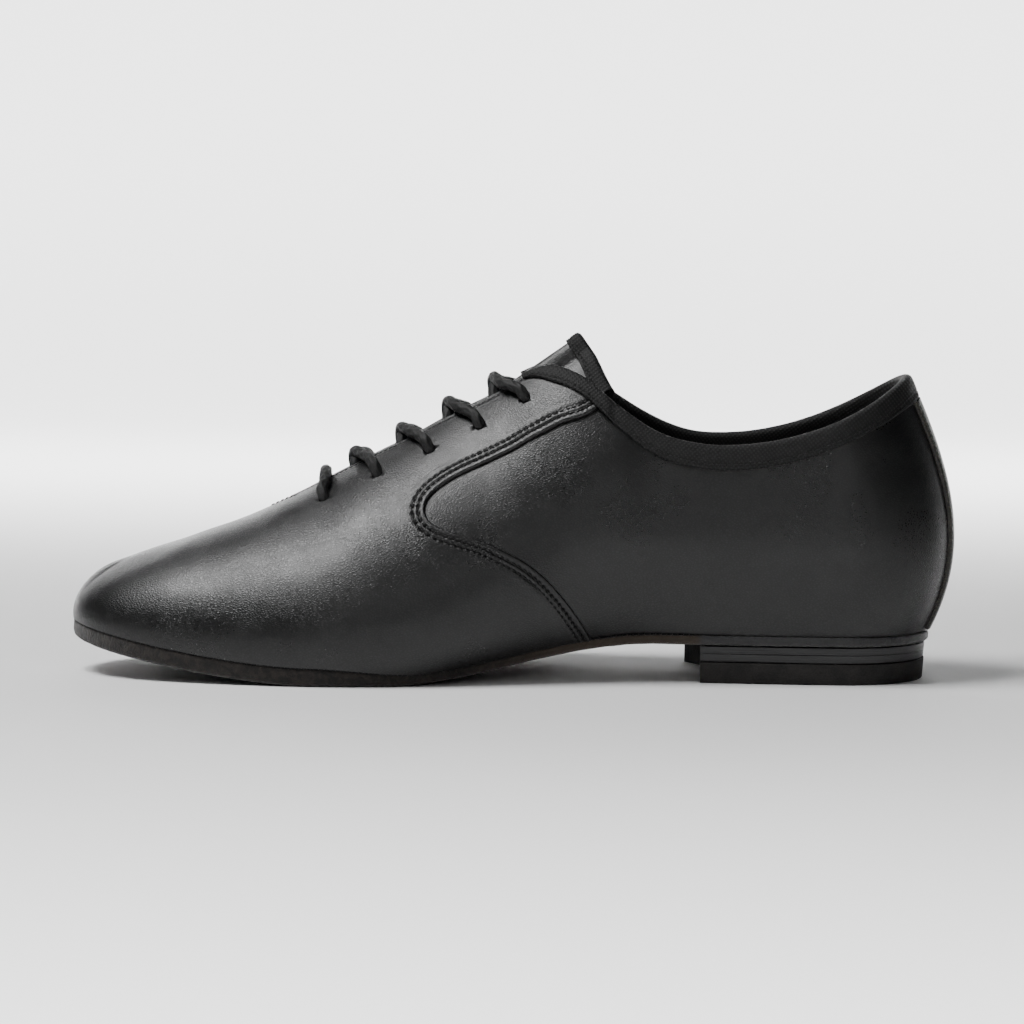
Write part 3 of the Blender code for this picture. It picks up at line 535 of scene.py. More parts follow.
def across(stations, distances, depths):
    """Points at signed distances from the ridge, across the instep: a row for each station."""
    stations = np.asarray(stations, dtype=float)
    distances, depths = np.broadcast_arrays(distances, depths)
    half = half_opening(stations)[:, None]
    lean = np.radians(np.maximum(read(TOP_ROWS, "lean", stations), 0))[:, None]
    slope = np.arctan(ridge_slope(stations))[:, None]
    turns = turn_at_top(stations)
    turn_grid = np.repeat(turns[:, None], distances.shape[1], axis=1)
    beyond = np.maximum(np.abs(distances) - half, 0)
    sides = {}
    for side in (-1, 1):
        rises = rises_below_edge(turns, side, beyond)
        sides[side] = offset_point(turn_grid, rises, as_side(rises, side), depths)
    share = np.abs(distances) / np.maximum(half, 1e-6)
    edge = wall_point(turns, as_side(turns, 1.0), as_side(turns, 1.0))[:, None, :]
    bow = half * np.tan(lean) / 2 * (1 - share * share)
    tilt = lean * share
    normal = np.stack([-np.sin(slope) * np.cos(tilt), np.sign(distances) * np.sin(tilt),
                       np.cos(slope) * np.cos(tilt)], -1)
    middle = np.stack([edge[..., 0] + 0 * distances, centre(stations)[:, None] + distances,
                       edge[..., 2] + bow], -1) + depths[..., None] * normal
    walls = np.where(distances[..., None] < 0, sides[-1], sides[1])
    return np.where(np.abs(distances)[..., None] > half[..., None], walls, middle)


def tongue_rows(stations, skin_depth, steps):
    """Rows across the tongue; between the facings it arches up towards its free end."""
    stations = np.asarray(stations, dtype=float)
    half = read(TONGUE_ROWS, "half", stations) * COLLAR_WIDTH
    opening = np.maximum(half_opening(stations), LACE)
    rising = smooth((stations - DIP_START) / (TONGUE_FREE - DIP_START))
    shares = np.linspace(-1, 1, steps + 1)
    distances = half[:, None] * (np.sign(shares) * np.abs(shares) ** 1.7)[None, :]
    arch = np.maximum(1 - (distances / opening[:, None]) ** 2, 0) ** 2
    depth = np.array([tongue_depth(station) for station in stations])[:, None] - skin_depth
    return across(stations, distances, depth + TONGUE_CROWN * rising[:, None] * arch)


def sewn_line(turns, rises, sides, depth):
    """Points of a stitch row and the wall's direction at each."""
    return offset_point(turns, rises, sides, depth), wall_normal(turns, rises, sides)


def beside(turn, rise, side, along_path, distance):
    """Turn and rise at a distance across the path, towards the toe for a path that runs up."""
    step = 1e-4
    here = wall_point(turn, rise, side)
    by_turn = (wall_point(turn + step, rise, side) - here) / step
    by_rise = (here - wall_point(turn, rise - step, side)) / step
    normal = wall_normal(turn, rise, side)
    across_path = np.cross(along_path, normal) * side[:, None]
    across_path /= np.linalg.norm(across_path, axis=1, keepdims=True)
    shift = across_path * distance[:, None]
    a = (by_turn * by_turn).sum(1)
    b = (by_turn * by_rise).sum(1)
    c = (by_rise * by_rise).sum(1)
    p = (by_turn * shift).sum(1)
    q = (by_rise * shift).sum(1)
    det = a * c - b * b
    return turn + (p * c - q * b) / det, rise + (q * a - p * b) / det


def seam_path(side, spacing):
    """Turn, rise and direction of the front piece's edge at even steps from the sole up."""
    rows = np.arange(len(EDGE_ROWS))
    steps = np.linspace(0, len(EDGE_ROWS) - 1, 2000)
    turns = through(rows, turn_at_base(np.array([row.station for row in EDGE_ROWS])), steps)
    rises = through(rows, [row.rise for row in EDGE_ROWS], steps)
    points = wall_point(turns, rises, as_side(rises, side))
    run = run_along(points)
    at = np.linspace(0, run[-1], int(run[-1] / spacing) + 1)
    rise = evened(np.interp(at, run, rises), 15)
    turn = evened(np.interp(at, run, turns), 15)
    points = wall_point(turn, rise, as_side(rise, side))
    direction = np.gradient(points, axis=0)
    return turn, rise, direction / np.linalg.norm(direction, axis=1, keepdims=True)


def evened(values, width):
    """Moving average that keeps both ends."""
    half = width // 2
    before = 2 * values[0] - values[half:0:-1]
    after = 2 * values[-1] - values[-2:-half - 2:-1]
    padded = np.concatenate([before, values, after])
    return np.convolve(padded, np.full(width, 1 / width), "valid")


def dip_at_holes(count, spacing):
    """How far the leather is pulled in at the needle holes along a row."""
    run = np.arange(count) * spacing
    off = np.abs((run + STITCH_PITCH / 2) % STITCH_PITCH - STITCH_PITCH / 2)
    return SEAM_DIP * np.exp(-(off / SEAM_DIP_WIDTH) ** 2)


# Stitches

# Rings of a stitch: share of its length, radius and how far it sinks, as shares of the thread's radius
STITCH_RINGS = [(-0.5, 0.3, 1.3), (-0.42, 0.75, 0.6), (-0.2, 1.0, 0.1), (0.0, 1.05, 0.0),
                (0.2, 1.0, 0.1), (0.42, 0.75, 0.6), (0.5, 0.3, 1.3)]


def ring_angles(count):
    return np.arange(count) * 2 * math.pi / count


def stitch_template(around=7):
    rings = []
    angles = ring_angles(around)
    for share, radius, drop in STITCH_RINGS:
        rings.append(np.stack([np.full(around, share), radius * np.cos(angles),
                               radius * np.sin(angles) - drop], -1))
    return np.concatenate(rings), ring_faces(len(rings), around)


def run_along(points):
    """Distance from the first point to each point."""
    return np.concatenate([[0], np.cumsum(np.linalg.norm(np.diff(points, axis=0), axis=1))])


def between_points(at, run, points):
    return np.stack([np.interp(at, run, points[:, axis]) for axis in range(3)], -1)


def sew(name, lines, material, slot, pitch=STITCH_PITCH, length=0.84, radius=STITCH_RADIUS):
    """One piece of stitches along lines of points with normals."""
    template, template_faces = stitch_template()
    vertices, faces = [], []
    for points, normals in lines:
        run = run_along(points)
        middles = np.arange(pitch / 2, run[-1], pitch)
        centres = between_points(middles, run, points)
        up = between_points(middles, run, normals)
        forward = (between_points(middles + pitch / 4, run, points)
                   - between_points(middles - pitch / 4, run, points))
        forward /= np.linalg.norm(forward, axis=1, keepdims=True)
        sideways = np.cross(up, forward)
        sideways /= np.linalg.norm(sideways, axis=1, keepdims=True)
        up = np.cross(forward, sideways)
        for centre_point, x_axis, y_axis, z_axis in zip(centres, forward, sideways, up):
            start = len(vertices)
            placed = (centre_point + template[:, :1] * pitch * length * x_axis
                      + template[:, 1:2] * radius * y_axis + template[:, 2:] * radius * z_axis)
            vertices.extend(placed)
            faces.extend([[start + corner for corner in face] for face in template_faces])
    return place(add_mesh(name, vertices, faces, [material], weld=0), slot)


# Materials

GRAIN_HEIGHT = 0.09 * MM
FOLD_HEIGHT = 0.10 * MM
# Middle and reach of the fine folds behind the arch and over the ball
HEEL_FOLDS = (0.064, -0.033, 0.056), 0.026
BALL_FOLDS = (-0.046, -0.036, 0.044), 0.030


def grey(value):
    return value, value, value


class Nodes:
    """Short calls for building a material's nodes."""

    def __init__(self, name, colour, roughness, **sockets):
        self.material = bpy.data.materials.new(name)
        self.material.use_nodes = True
        self.tree = self.material.node_tree
        self.shader = self.tree.nodes["Principled BSDF"]
        self.fill(self.shader, Base_Color=(*colour, 1), Roughness=roughness, **sockets)
        self.place = self.tree.nodes.new("ShaderNodeTexCoord").outputs["Object"]

    def put(self, value, socket):
        """Sets a socket to a value or joins another node's output to it."""
        if isinstance(value, bpy.types.NodeSocket):
            self.tree.links.new(value, socket)
        else:
            socket.default_value = value

    def fill(self, node, **sockets):
        for name, value in sockets.items():
            self.put(value, node.inputs[name.replace("_", " ")])

    def add(self, kind, output, settings=(), inputs=(), **sockets):
        """New node: its settings, its first inputs in order and its inputs by name."""
        node = self.tree.nodes.new("ShaderNode" + kind)
        for name, value in settings:
            setattr(node, name, value)
        for value, socket in zip(inputs, node.inputs):
            self.put(value, socket)
        self.fill(node, **sockets)
        return node.outputs[output]

    def scaled(self, scale, degrees=0):
        """Place stretched by a scale and turned about the cross axis."""
        return self.add("Mapping", "Vector", Vector=self.place, Scale=scale,
                        Rotation=(0, math.radians(degrees), 0))

    def noise(self, scale, detail=3.0, roughness=0.55, vector=None, distortion=0.0):
        return self.add("TexNoise", "Fac", Vector=vector or self.place, Scale=scale, Detail=detail,
                        Roughness=roughness, Distortion=distortion)

    def cells(self, scale, vector=None):
        return self.add("TexVoronoi", "Distance", [("feature", "DISTANCE_TO_EDGE")],
                        Vector=vector or self.place, Scale=scale)

    def wave(self, scale, vector, distortion, detail_scale):
        return self.add("TexWave", "Fac", Vector=vector, Scale=scale, Distortion=distortion, Detail=2.0,
                        Detail_Scale=detail_scale)

    def ramp(self, source, low, high, first=0.0, last=1.0):
        return self.add("MapRange", "Result", [("interpolation_type", "SMOOTHSTEP")], Value=source,
                        From_Min=low, From_Max=high, To_Min=first, To_Max=last)

    def plus(self, first, second):
        return self.add("Math", "Value", [("operation", "ADD")], (first, second))

    def minus(self, first, second):
        return self.add("Math", "Value", [("operation", "SUBTRACT")], (first, second))

    def times(self, first, second):
        return self.add("Math", "Value", [("operation", "MULTIPLY")], (first, second))

    def mix(self, factor, first, second):
        """Colour between two colours, or a node's colour and a colour."""
        node = self.tree.nodes.new("ShaderNodeMix")
        node.data_type = "RGBA"
        self.put(factor, node.inputs["Factor"])
        for value, socket in ((first, node.inputs[6]), (second, node.inputs[7])):
            self.put((*value, 1) if isinstance(value, tuple) else value, socket)
        return node.outputs[2]

    def along_x(self):
        return self.add("SeparateXYZ", "X", Vector=self.place)

    def near(self, point, radius):
        """1 at a point, falling to 0 at a radius."""
        gap = self.add("VectorMath", "Value", [("operation", "DISTANCE")], (self.place, point))
        return self.ramp(gap, 0.0, radius, 1.0, 0.0)

    def bump(self, height, distance, strength=1.0, **under):
        normal = self.add("Bump", "Normal", Height=height, Distance=distance, Strength=strength, **under)
        self.fill(self.shader, Normal=normal)
        return normal

    def paint(self, factor, first, second):
        self.fill(self.shader, Base_Color=self.mix(factor, first, second))

    def gloss(self, roughness):
        self.fill(self.shader, Roughness=roughness)


def leather(name, dark, light, roughness, creases=True):
    """Fine pebble grain that lies a little along the shoe, with broad changes of gloss."""
    nodes = Nodes(name, dark, roughness, Specular_IOR_Level=0.5, Coat_Weight=0.12, Coat_Roughness=0.26)
    laid = nodes.scaled((1.0, 1.0, 1.45), 18)
    pebble = nodes.ramp(nodes.cells(1050, laid), 0.0, 0.32)
    small = nodes.ramp(nodes.cells(1900, laid), 0.0, 0.3)
    pores = nodes.noise(5200, 2.0)
    height = nodes.plus(nodes.times(pebble, 0.62), nodes.times(small, 0.3))
    height = nodes.plus(height, nodes.times(pores, 0.22))
    strength = nodes.ramp(nodes.noise(90, 2.0), 0.25, 0.75, 0.6, 1.0)
    grain = nodes.bump(nodes.times(height, strength), GRAIN_HEIGHT)
    if creases:
        fold = nodes.wave(80, nodes.scaled((1.0, 1.0, 1.0), -38), 1.4, 0.8)
        flex = nodes.wave(50, nodes.scaled((1.0, 0.6, 1.0), 24), 1.6, 0.8)
        lines = nodes.plus(nodes.times(fold, nodes.near(*HEEL_FOLDS)),
                           nodes.times(nodes.times(flex, nodes.near(*BALL_FOLDS)), 0.5))
        nodes.bump(lines, FOLD_HEIGHT, Normal=grain)
    nodes.paint(pebble, tuple(0.3 * value for value in dark), light)
    dull = nodes.ramp(nodes.noise(28, 3.0), 0.3, 0.7, roughness - 0.035, roughness + 0.045)
    nodes.gloss(nodes.plus(dull, nodes.times(nodes.minus(1.0, pebble), 0.10)))
    return nodes.material


def lining_leather(name, colour, light):
    nodes = Nodes(name, colour, 0.68, Sheen_Weight=0.12, Sheen_Roughness=0.6)
    nodes.bump(nodes.plus(nodes.noise(900, 3.0), nodes.cells(1500)), 0.08 * MM, 0.8)
    nodes.paint(nodes.ramp(nodes.noise(60, 3.0), 0.3, 0.7), colour, light)
    return nodes.material


def binding_tape(name):
    """Matte tape with a close diagonal weave."""
    nodes = Nodes(name, grey(0.006), 0.66, Specular_IOR_Level=0.35)
    first, second = (nodes.wave(330, nodes.scaled((1, 1, 1), turn), 0.8, 2.0) for turn in (38, -52))
    weave = nodes.times(first, second)
    nodes.bump(nodes.plus(weave, nodes.times(nodes.noise(2600, 2.0), 0.5)), 0.16 * MM, 0.9)
    nodes.paint(nodes.ramp(weave, 0.1, 0.7), grey(0.003), grey(0.009))
    return nodes.material


def suede(name):
    """Napped black-brown sole, worn lighter in the arch, with a painted edge at the heel."""
    nodes = Nodes(name, (0.016, 0.013, 0.012), 0.92, Sheen_Weight=0.25, Sheen_Roughness=0.45)
    nap = nodes.noise(1500, 5.0, 0.7)
    clumps = nodes.noise(420, 4.0, 0.6, distortion=0.6)
    nodes.bump(nodes.plus(nap, nodes.times(clumps, 0.8)), 0.45 * MM, 0.9)
    brown = nodes.mix(nodes.ramp(clumps, 0.35, 0.68), (0.007, 0.006, 0.0055), (0.024, 0.019, 0.016))
    x = nodes.along_x()
    waist = nodes.times(nodes.ramp(x, -0.02, 0.02), nodes.ramp(x, 0.055, 0.062, 1.0, 0.0))
    heel = nodes.ramp(x, 0.0545, 0.0585)
    nodes.paint(heel, nodes.mix(waist, brown, (0.045, 0.034, 0.025)), (0.018, 0.018, 0.019))
    nodes.gloss(nodes.ramp(heel, 0.0, 1.0, 0.92, 0.40))
    return nodes.material


def painted_heel(name):
    nodes = Nodes(name, (0.019, 0.019, 0.020), 0.34, Specular_IOR_Level=0.5)
    layers = nodes.noise(1.0, 3.0, 0.6, nodes.scaled((28, 28, 2300)))
    fine = nodes.noise(1.0, 2.0, 0.5, nodes.scaled((60, 60, 5200)))
    nodes.bump(nodes.plus(layers, nodes.times(fine, 0.5)), 0.16 * MM, 0.8)
    nodes.gloss(nodes.ramp(layers, 0.3, 0.7, 0.28, 0.44))
    nodes.paint(nodes.ramp(layers, 0.35, 0.6), (0.012, 0.012, 0.013), (0.024, 0.024, 0.025))
    return nodes.material


def rubber(name):
    nodes = Nodes(name, (0.013, 0.011, 0.011), 0.78, Specular_IOR_Level=0.4)
    specks = nodes.noise(2400, 3.0)
    nodes.bump(nodes.plus(specks, nodes.noise(300, 2.0)), 0.12 * MM, 0.8)
    nodes.paint(nodes.ramp(nodes.noise(140, 3.0), 0.3, 0.7), (0.010, 0.009, 0.009), (0.020, 0.018, 0.017))
    nodes.gloss(nodes.ramp(specks, 0.3, 0.7, 0.68, 0.86))
    return nodes.material


def thread(name):
    nodes = Nodes(name, grey(0.003), 0.62, Specular_IOR_Level=0.3)
    twist = nodes.noise(3800, 1.0)
    nodes.bump(twist, 0.1 * MM, 0.6)
    nodes.paint(twist, grey(0.004), grey(0.012))
    return nodes.material


def braid(name):
    nodes = Nodes(name, grey(0.008), 0.6, Specular_IOR_Level=0.4)
    fibres = nodes.noise(3300, 3.0)
    nodes.bump(fibres, 0.14 * MM, 0.8)
    nodes.paint(nodes.ramp(fibres, 0.35, 0.7), grey(0.003), grey(0.014))
    return nodes.material


BLACK = leather("shoe_leather", (0.0018, 0.0018, 0.0020), (0.0060, 0.0060, 0.0063), 0.29)
# Back strap: black leather coloured olive-brown all over, a painted rim highlight standing in for the light
# along its edge
STRAP_PAINTED_RIM_LIGHT = leather("back_strap_painted_rim_light", (0.022, 0.019, 0.013), (0.036, 0.031, 0.020), 0.44, creases=False)
INSIDE = lining_leather("inner_lining", (0.020, 0.020, 0.019), (0.034, 0.033, 0.031))
SOCK = lining_leather("insole_sock", (0.018, 0.018, 0.018), (0.030, 0.030, 0.029))
TAPE = binding_tape("binding_tape")
SUEDE = suede("sole_suede")
PAINT = painted_heel("heel_paint")
RUBBER = rubber("heel_rubber")
THREAD = thread("sewing_thread")
BRAID = braid("lace_braid")


# Upper

def height_terms(points, apex):
    """Terms of a cubic height over the ground, measured from the ridge's front end."""
    along, aside = ((points[:, axis] - apex[axis]) / TOE_REACH for axis in (0, 1))
    powers = [(first, second) for first in range(4) for second in range(4 - first)]
    return np.stack([along ** first * aside ** second for first, second in powers], -1)


def from_apex(points, apex):
    """Distance over the ground as a share of the reach, and which points are near its level."""
    gaps = np.hypot(*(points[:, :2] - apex[:2]).T) / TOE_REACH
    return gaps, np.abs(points[:, 2] - apex[2]) < TOE_REACH


def round_toe(blocks, apex):
    """Rounds the fold where the ridge ends above the toe."""
    everything = np.concatenate(blocks)
    gaps, level = from_apex(everything, apex)
    near = (gaps < 1) & level
    weights = np.sqrt(gaps[near] + 0.05)
    terms = height_terms(everything[near], apex)
    answer = np.linalg.lstsq(terms * weights[:, None], everything[near, 2] * weights, rcond=None)[0]
    for points in blocks:
        gaps, level = from_apex(points, apex)
        share = smooth((1 - gaps) / TOE_BLEND) * level
        points[:, 2] += share * (height_terms(points, apex) @ answer - points[:, 2])


def shell(name, turn_grid, rise_grid, ridge_columns, outer_depth, inner_depth, materials):
    """Closed shell of the wall: a column for each turn, a row for each rise, both sides of the foot."""
    columns, rows = turn_grid.shape
    blocks, count = [], 0
    faces, slots = [], []
    index = {}
    for side in (-1, 1):
        for number, depth in enumerate((outer_depth, inner_depth)):
            points = offset_point(turn_grid, rise_grid, as_side(turn_grid, side), depth)
            ridge = points[:ridge_columns + 1, -1]
            ridge[:, 1] = centre(ridge[:, 0] / LENGTH + 0.5)
            blocks.append(points.reshape(-1, 3))
            index[side, number] = count + np.arange(columns * rows).reshape(columns, rows)
            quads = grid_faces(columns, rows, count)
            faces.append(quads)
            slots += [number] * len(quads)
            count += columns * rows
        outer, inner = index[side, 0], index[side, 1]
        rims = [(outer[:, 0], inner[:, 0], 0), (outer[ridge_columns:, -1], inner[ridge_columns:, -1], 0)]
        if turn_grid[-1].max() < 1:
            rims.append((outer[-1], inner[-1], 0))
        for first, second, slot in rims:
            quads = np.stack([first[:-1], first[1:], second[1:], second[:-1]], -1)
            faces.append(quads)
            slots += [slot] * len(quads)
    for pair in (blocks[0::2], blocks[1::2]):
        round_toe(pair, pair[0][rows - 1])
    return add_mesh(name, np.concatenate(blocks), np.concatenate(faces), materials, slots,
                    weld=SHELL_WELD, sharp=60)


def upper_turns(vamp, facing, corner, behind):
    """Turns closer at the toe, with columns on the throat's front, the binding's start and the seam."""
    parts = [np.linspace(0, 1, vamp + 1) ** 1.1 * THROAT_TURN,
             np.linspace(THROAT_TURN, BINDING_TURN, facing + 1)[1:],
             np.linspace(BINDING_TURN, SEAM_TURN, corner + 1)[1:]]
    if behind:
        parts.append(np.linspace(SEAM_TURN, 1, behind + 1)[1:])
    return np.concatenate(parts)


def eyelet_station(index):
    return FIRST_EYELET + (LAST_EYELET - FIRST_EYELET) * index / (EYELETS - 1)


def eyelet_inset(index):
    return EYELET_INSET_LOW + (EYELET_INSET_HIGH - EYELET_INSET_LOW) * index / (EYELETS - 1)


def eyelet_point(index, side, depth):
    """Point over an eyelet's middle and the wall's direction there."""
    station = eyelet_station(index)
    turn = np.array([float(turn_at_top(station))])
    rise = rises_below_edge(turn, side, np.array([[eyelet_inset(index)]]))[:, 0]
    point = offset_point(turn, rise, as_side(turn, side), depth)[0]
    return point, wall_normal(turn, rise, as_side(turn, side))[0]


def punch(piece):
    """Cuts the eyelet holes through a piece."""
    vertices, faces = [], []
    around = 20
    angles = ring_angles(around)
    for index in range(EYELETS):
        for side in (-1, 1):
            point, normal = eyelet_point(index, side, 0.0)
            across_hole = np.cross(normal, [1.0, 0, 0])
            across_hole /= np.linalg.norm(across_hole)
            along_hole = np.cross(across_hole, normal)
            start = len(vertices)
            for height in PUNCH_HEIGHTS:
                for angle in angles:
                    vertices.append(point + normal * height + EYELET_RADIUS
                                    * (math.cos(angle) * across_hole + math.sin(angle) * along_hole))
            ring = np.arange(around)
            for low, after in zip(ring, np.roll(ring, -1)):
                faces.append([start + low, start + after, start + around + after, start + around + low])
            faces.append([start + int(corner) for corner in ring])
            faces.append([start + around + int(corner) for corner in ring])
    cutter = add_mesh(piece.name + "_holes", vertices, faces, [BLACK], weld=0)
    change = piece.modifiers.new("holes", "BOOLEAN")
    change.operation = "DIFFERENCE"
    change.solver = "EXACT"
    change.object = cutter
    cut = piece.evaluated_get(bpy.context.evaluated_depsgraph_get())
    settled = bpy.data.meshes.new_from_object(cut)
    piece.modifiers.clear()
    piece.data = settled
    bpy.data.objects.remove(cutter, do_unlink=True)
    return piece


def build_quarters():
    turns = upper_turns(*QUARTER_COLUMNS)
    rises = np.concatenate([np.linspace(0, 0.8, 44), np.linspace(0.8, 1, 16)[1:]])
    turn_grid, rise_grid = np.meshgrid(turns, rises, indexing="ij")
    piece = shell("upper_quarters", turn_grid, rise_grid, QUARTER_COLUMNS[0], 0.0, -WALL, [BLACK, INSIDE])
    place(punch(piece), "black_leather", "upper")


def shell_edge(rise):
    """Turn where the front piece's shell ends, hidden under its turned edge."""
    reach_turn = EDGE_HIDE / (1.5 * LENGTH)
    reach_rise = EDGE_HIDE / (1.1 * BALL_WIDTH)
    offers = []
    for share in np.linspace(-1, 1, 13):
        near_rise = np.clip(rise + share * reach_rise, 0, 1)
        offers.append(seam_turn(near_rise) - reach_turn * math.sqrt(1 - share * share))
    return np.min(offers, axis=0)


def build_front_piece():
    turns = upper_turns(*FRONT_COLUMNS)
    rises = np.concatenate([np.linspace(0.004, 0.70, 50), np.linspace(0.70, 0.82, 50)[1:],
                            np.linspace(0.82, 0.997, 20)[1:]])
    turn_grid, rise_grid = np.meshgrid(turns, rises, indexing="ij")
    shift = SEAM_TURN - shell_edge(rise_grid)
    weight = np.clip((turn_grid - 0.1) / (SEAM_TURN - 0.1), 0, 1)
    turn_grid = turn_grid - shift * weight
    head = (turn_grid <= THROAT_TURN + 1e-9) & (rise_grid == rises[-1])
    rise_grid = np.where(head, 1.0, rise_grid)
    piece = shell("front_piece", turn_grid, rise_grid, FRONT_COLUMNS[0], OVERLAP, FRONT_UNDER,
                  [BLACK, BLACK])
    place(punch(piece), "black_leather", "upper")


# Turned edge of the front piece: millimetres behind the edge and over the quarters, then the
# share of the needle holes' dip that it takes.
SEAM_PROFILE = [
    (-0.05, -0.40, 0), (0.0, 0.10, 0), (0.04, 0.50, 0), (0.14, 0.82, 0), (0.35, 1.00, 0), (0.75, 1.06, 0),
    (1.2, 1.03, 0), (1.6, 0.94, 0.3), (1.85, 0.86, 0.8), (2.1, 0.80, 1), (2.35, 0.86, 0.8),
    (2.65, 0.95, 0.2), (2.95, 0.98, 0), (3.25, 0.95, 0.2), (3.55, 0.87, 0.8), (3.8, 0.80, 1),
    (4.05, 0.87, 0.8), (4.4, 0.94, 0.2), (4.9, 0.95, 0), (5.5, 0.93, 0), (6.3, 0.905, 0), (7.2, 0.80, 0),
]


def build_seams():
    """Turned edge of the front piece with two stitched rows, on both sides."""
    spacing = STITCH_PITCH / 5
    lines = []
    for side, label in SIDES:
        turn, rise, direction = seam_path(side, spacing)
        sides = as_side(turn, side)
        dip = dip_at_holes(len(turn), spacing)
        rows = []
        before = 0.0
        for distance, depth, holes in SEAM_PROFILE:
            turn, rise = beside(turn, rise, sides, direction, as_side(turn, (distance - before) * MM))
            rise = np.clip(rise, 0, 1)
            before = distance
            rows.append(offset_point(turn, rise, sides, depth * MM - dip * holes))
            if distance in STITCHED_AT:
                lines.append(sewn_line(turn, rise, sides, depth * MM + THREAD_STAND))
        piece = open_skin("front_seam_" + label, np.array(rows), BLACK)
        place(piece, "black_leather", "upper")
    sew("seam_stitches", lines, THREAD, "black_leather")


def build_tack():
    """Two short stitched lines that meet ahead of the throat."""
    lines = []
    for side in (-1, 1):
        stations = np.linspace(THROAT - 0.020, THROAT + 0.012, 9)
        distances = side * np.linspace(0.4 * MM, 4.2 * MM, 9)
        points = across(stations, distances[:, None], OVERLAP + 0.06 * MM)[:, 0]
        lines.append((points, np.tile(np.array([-0.4, 0.25 * side, 0.9]), (9, 1))))
    sew("throat_tack", lines, THREAD, "black_leather", pitch=1.7 * MM, radius=0.22 * MM)


def band_profile(drop, rows):
    """Distances and depths of a folded band, its legs scaled to the drop at each turn."""
    distances = np.array([[down * fall if down > 0 else down * MM for down, _ in rows] for fall in drop])
    depths = np.array([[depth * MM for _, depth in rows]] * len(drop))
    return distances, depths


# Edge of the facings, in millimetres below the edge and outside the quarters.
THROAT_PROFILE = [
    (3.6, 0.80), (3.0, 0.91), (2.4, 0.96), (1.9, 0.90), (1.5, 0.70), (1.1, 0.93), (0.7, 1.02),
    (0.3, 0.98), (-0.02, 0.80), (-0.22, 0.35), (-0.30, -0.4), (-0.24, -1.2), (-0.05, -1.7),
    (0.3, -1.92), (1.0, -1.95), (2.5, -1.92), (3.2, -1.7),
]


def build_throat_edges():
    """Rounded edge of the facings with a stitched row just below it."""
    turns = np.linspace(THROAT_TURN + 0.004, BINDING_TURN + 0.004, 230)
    lines = []
    for side, label in SIDES:
        distances, depths = band_profile(as_side(turns, MM), THROAT_PROFILE)
        points = edge_points(turns, side, distances, depths)
        place(open_skin("throat_edge_" + label, points, BLACK), "black_leather", "upper")
        rises = rises_below_edge(turns, side, as_side(turns, EDGE_STITCH)[:, None])[:, 0]
        lines.append(sewn_line(turns, rises, as_side(rises, side), 0.88 * MM))
    sew("throat_stitches", lines, THREAD, "black_leather", pitch=1.7 * MM, radius=0.2 * MM)


# Stations over which the binding grows to its full width and thickness
BINDING_WIDENS = 0.035
BINDING_THICKENS = 0.014
# Collar binding: shares of its drop, or millimetres over the collar's edge where negative, and
# millimetres outside the wall; its face, then the fold and the face inside the shoe.
BINDING_FACE = [
    (1.0, 0.0), (1.01, 0.35), (0.99, 0.75), (0.93, 0.98), (0.86, 1.0), (0.80, 0.90), (0.76, 0.80),
    (0.72, 0.90), (0.64, 1.04), (0.5, 1.1), (0.34, 1.12), (0.16, 1.12), (0.02, 1.05),
]
BINDING_FOLD = [
    (-0.45, 0.85), (-0.95, 0.40), (-1.28, -0.25), (-1.38, -0.9), (-1.28, -1.6), (-0.95, -2.2),
    (-0.45, -2.6), (0.02, -2.8), (0.3, -2.85), (0.7, -2.8), (0.95, -2.6), (1.0, -1.9),
]


def build_collar_binding():
    """Tape folded over the collar, stitched above its lower edge."""
    turns = np.concatenate([np.linspace(BINDING_TURN, SEAM_TURN, 60), np.linspace(SEAM_TURN, 1, 200)[1:]])
    stations = top_station(turns)
    drop = BINDING_DROP * (0.30 + 0.70 * smooth((stations - BINDING_START) / BINDING_WIDENS))
    over = OVERLAP * (1 - smooth((stations - SEAM_TOP - 0.004) / 0.010))
    distances, depths = band_profile(drop, BINDING_FACE + BINDING_FOLD)
    thick = (0.3 + 0.7 * smooth((stations - BINDING_START) / BINDING_THICKENS))[:, None]
    distances = np.where(distances < 0, distances * thick, distances)
    outside = np.zeros(len(BINDING_FACE + BINDING_FOLD))
    outside[:len(BINDING_FACE)] = 1.0
    outside[len(BINDING_FACE):][:3] = (0.8, 0.5, 0.2)
    depths = depths + over[:, None] * outside + 0.1 * MM
    inner = edge_points(turns, -1, distances, depths)
    outer = edge_points(turns[-2::-1], 1, distances[-2::-1], depths[-2::-1])
    points = np.concatenate([inner, outer])
    place(open_skin("collar_binding_tape", points, TAPE), "black_binding", "collar_binding")
    lines = []
    for side in (-1, 1):
        rises = rises_below_edge(turns, side, (drop * 0.77)[:, None])[:, 0]
        lines.append(sewn_line(turns, rises, as_side(turns, side), over + 1.02 * MM))
    sew("collar_stitches", lines, THREAD, "black_binding", pitch=1.8 * MM, radius=0.2 * MM)


# Half of the back strap: share of its half width and millimetres over the quarters.
STRAP_PROFILE = [
    (1.0, 0.0), (1.0, 0.55), (0.985, 0.95), (0.955, 1.18), (0.92, 1.2), (0.88, 1.05), (0.85, 0.95),
    (0.82, 1.05), (0.76, 1.12), (0.6, 1.15), (0.45, 1.15), (0.3, 1.15), (0.15, 1.15), (0.0, 1.15),
]


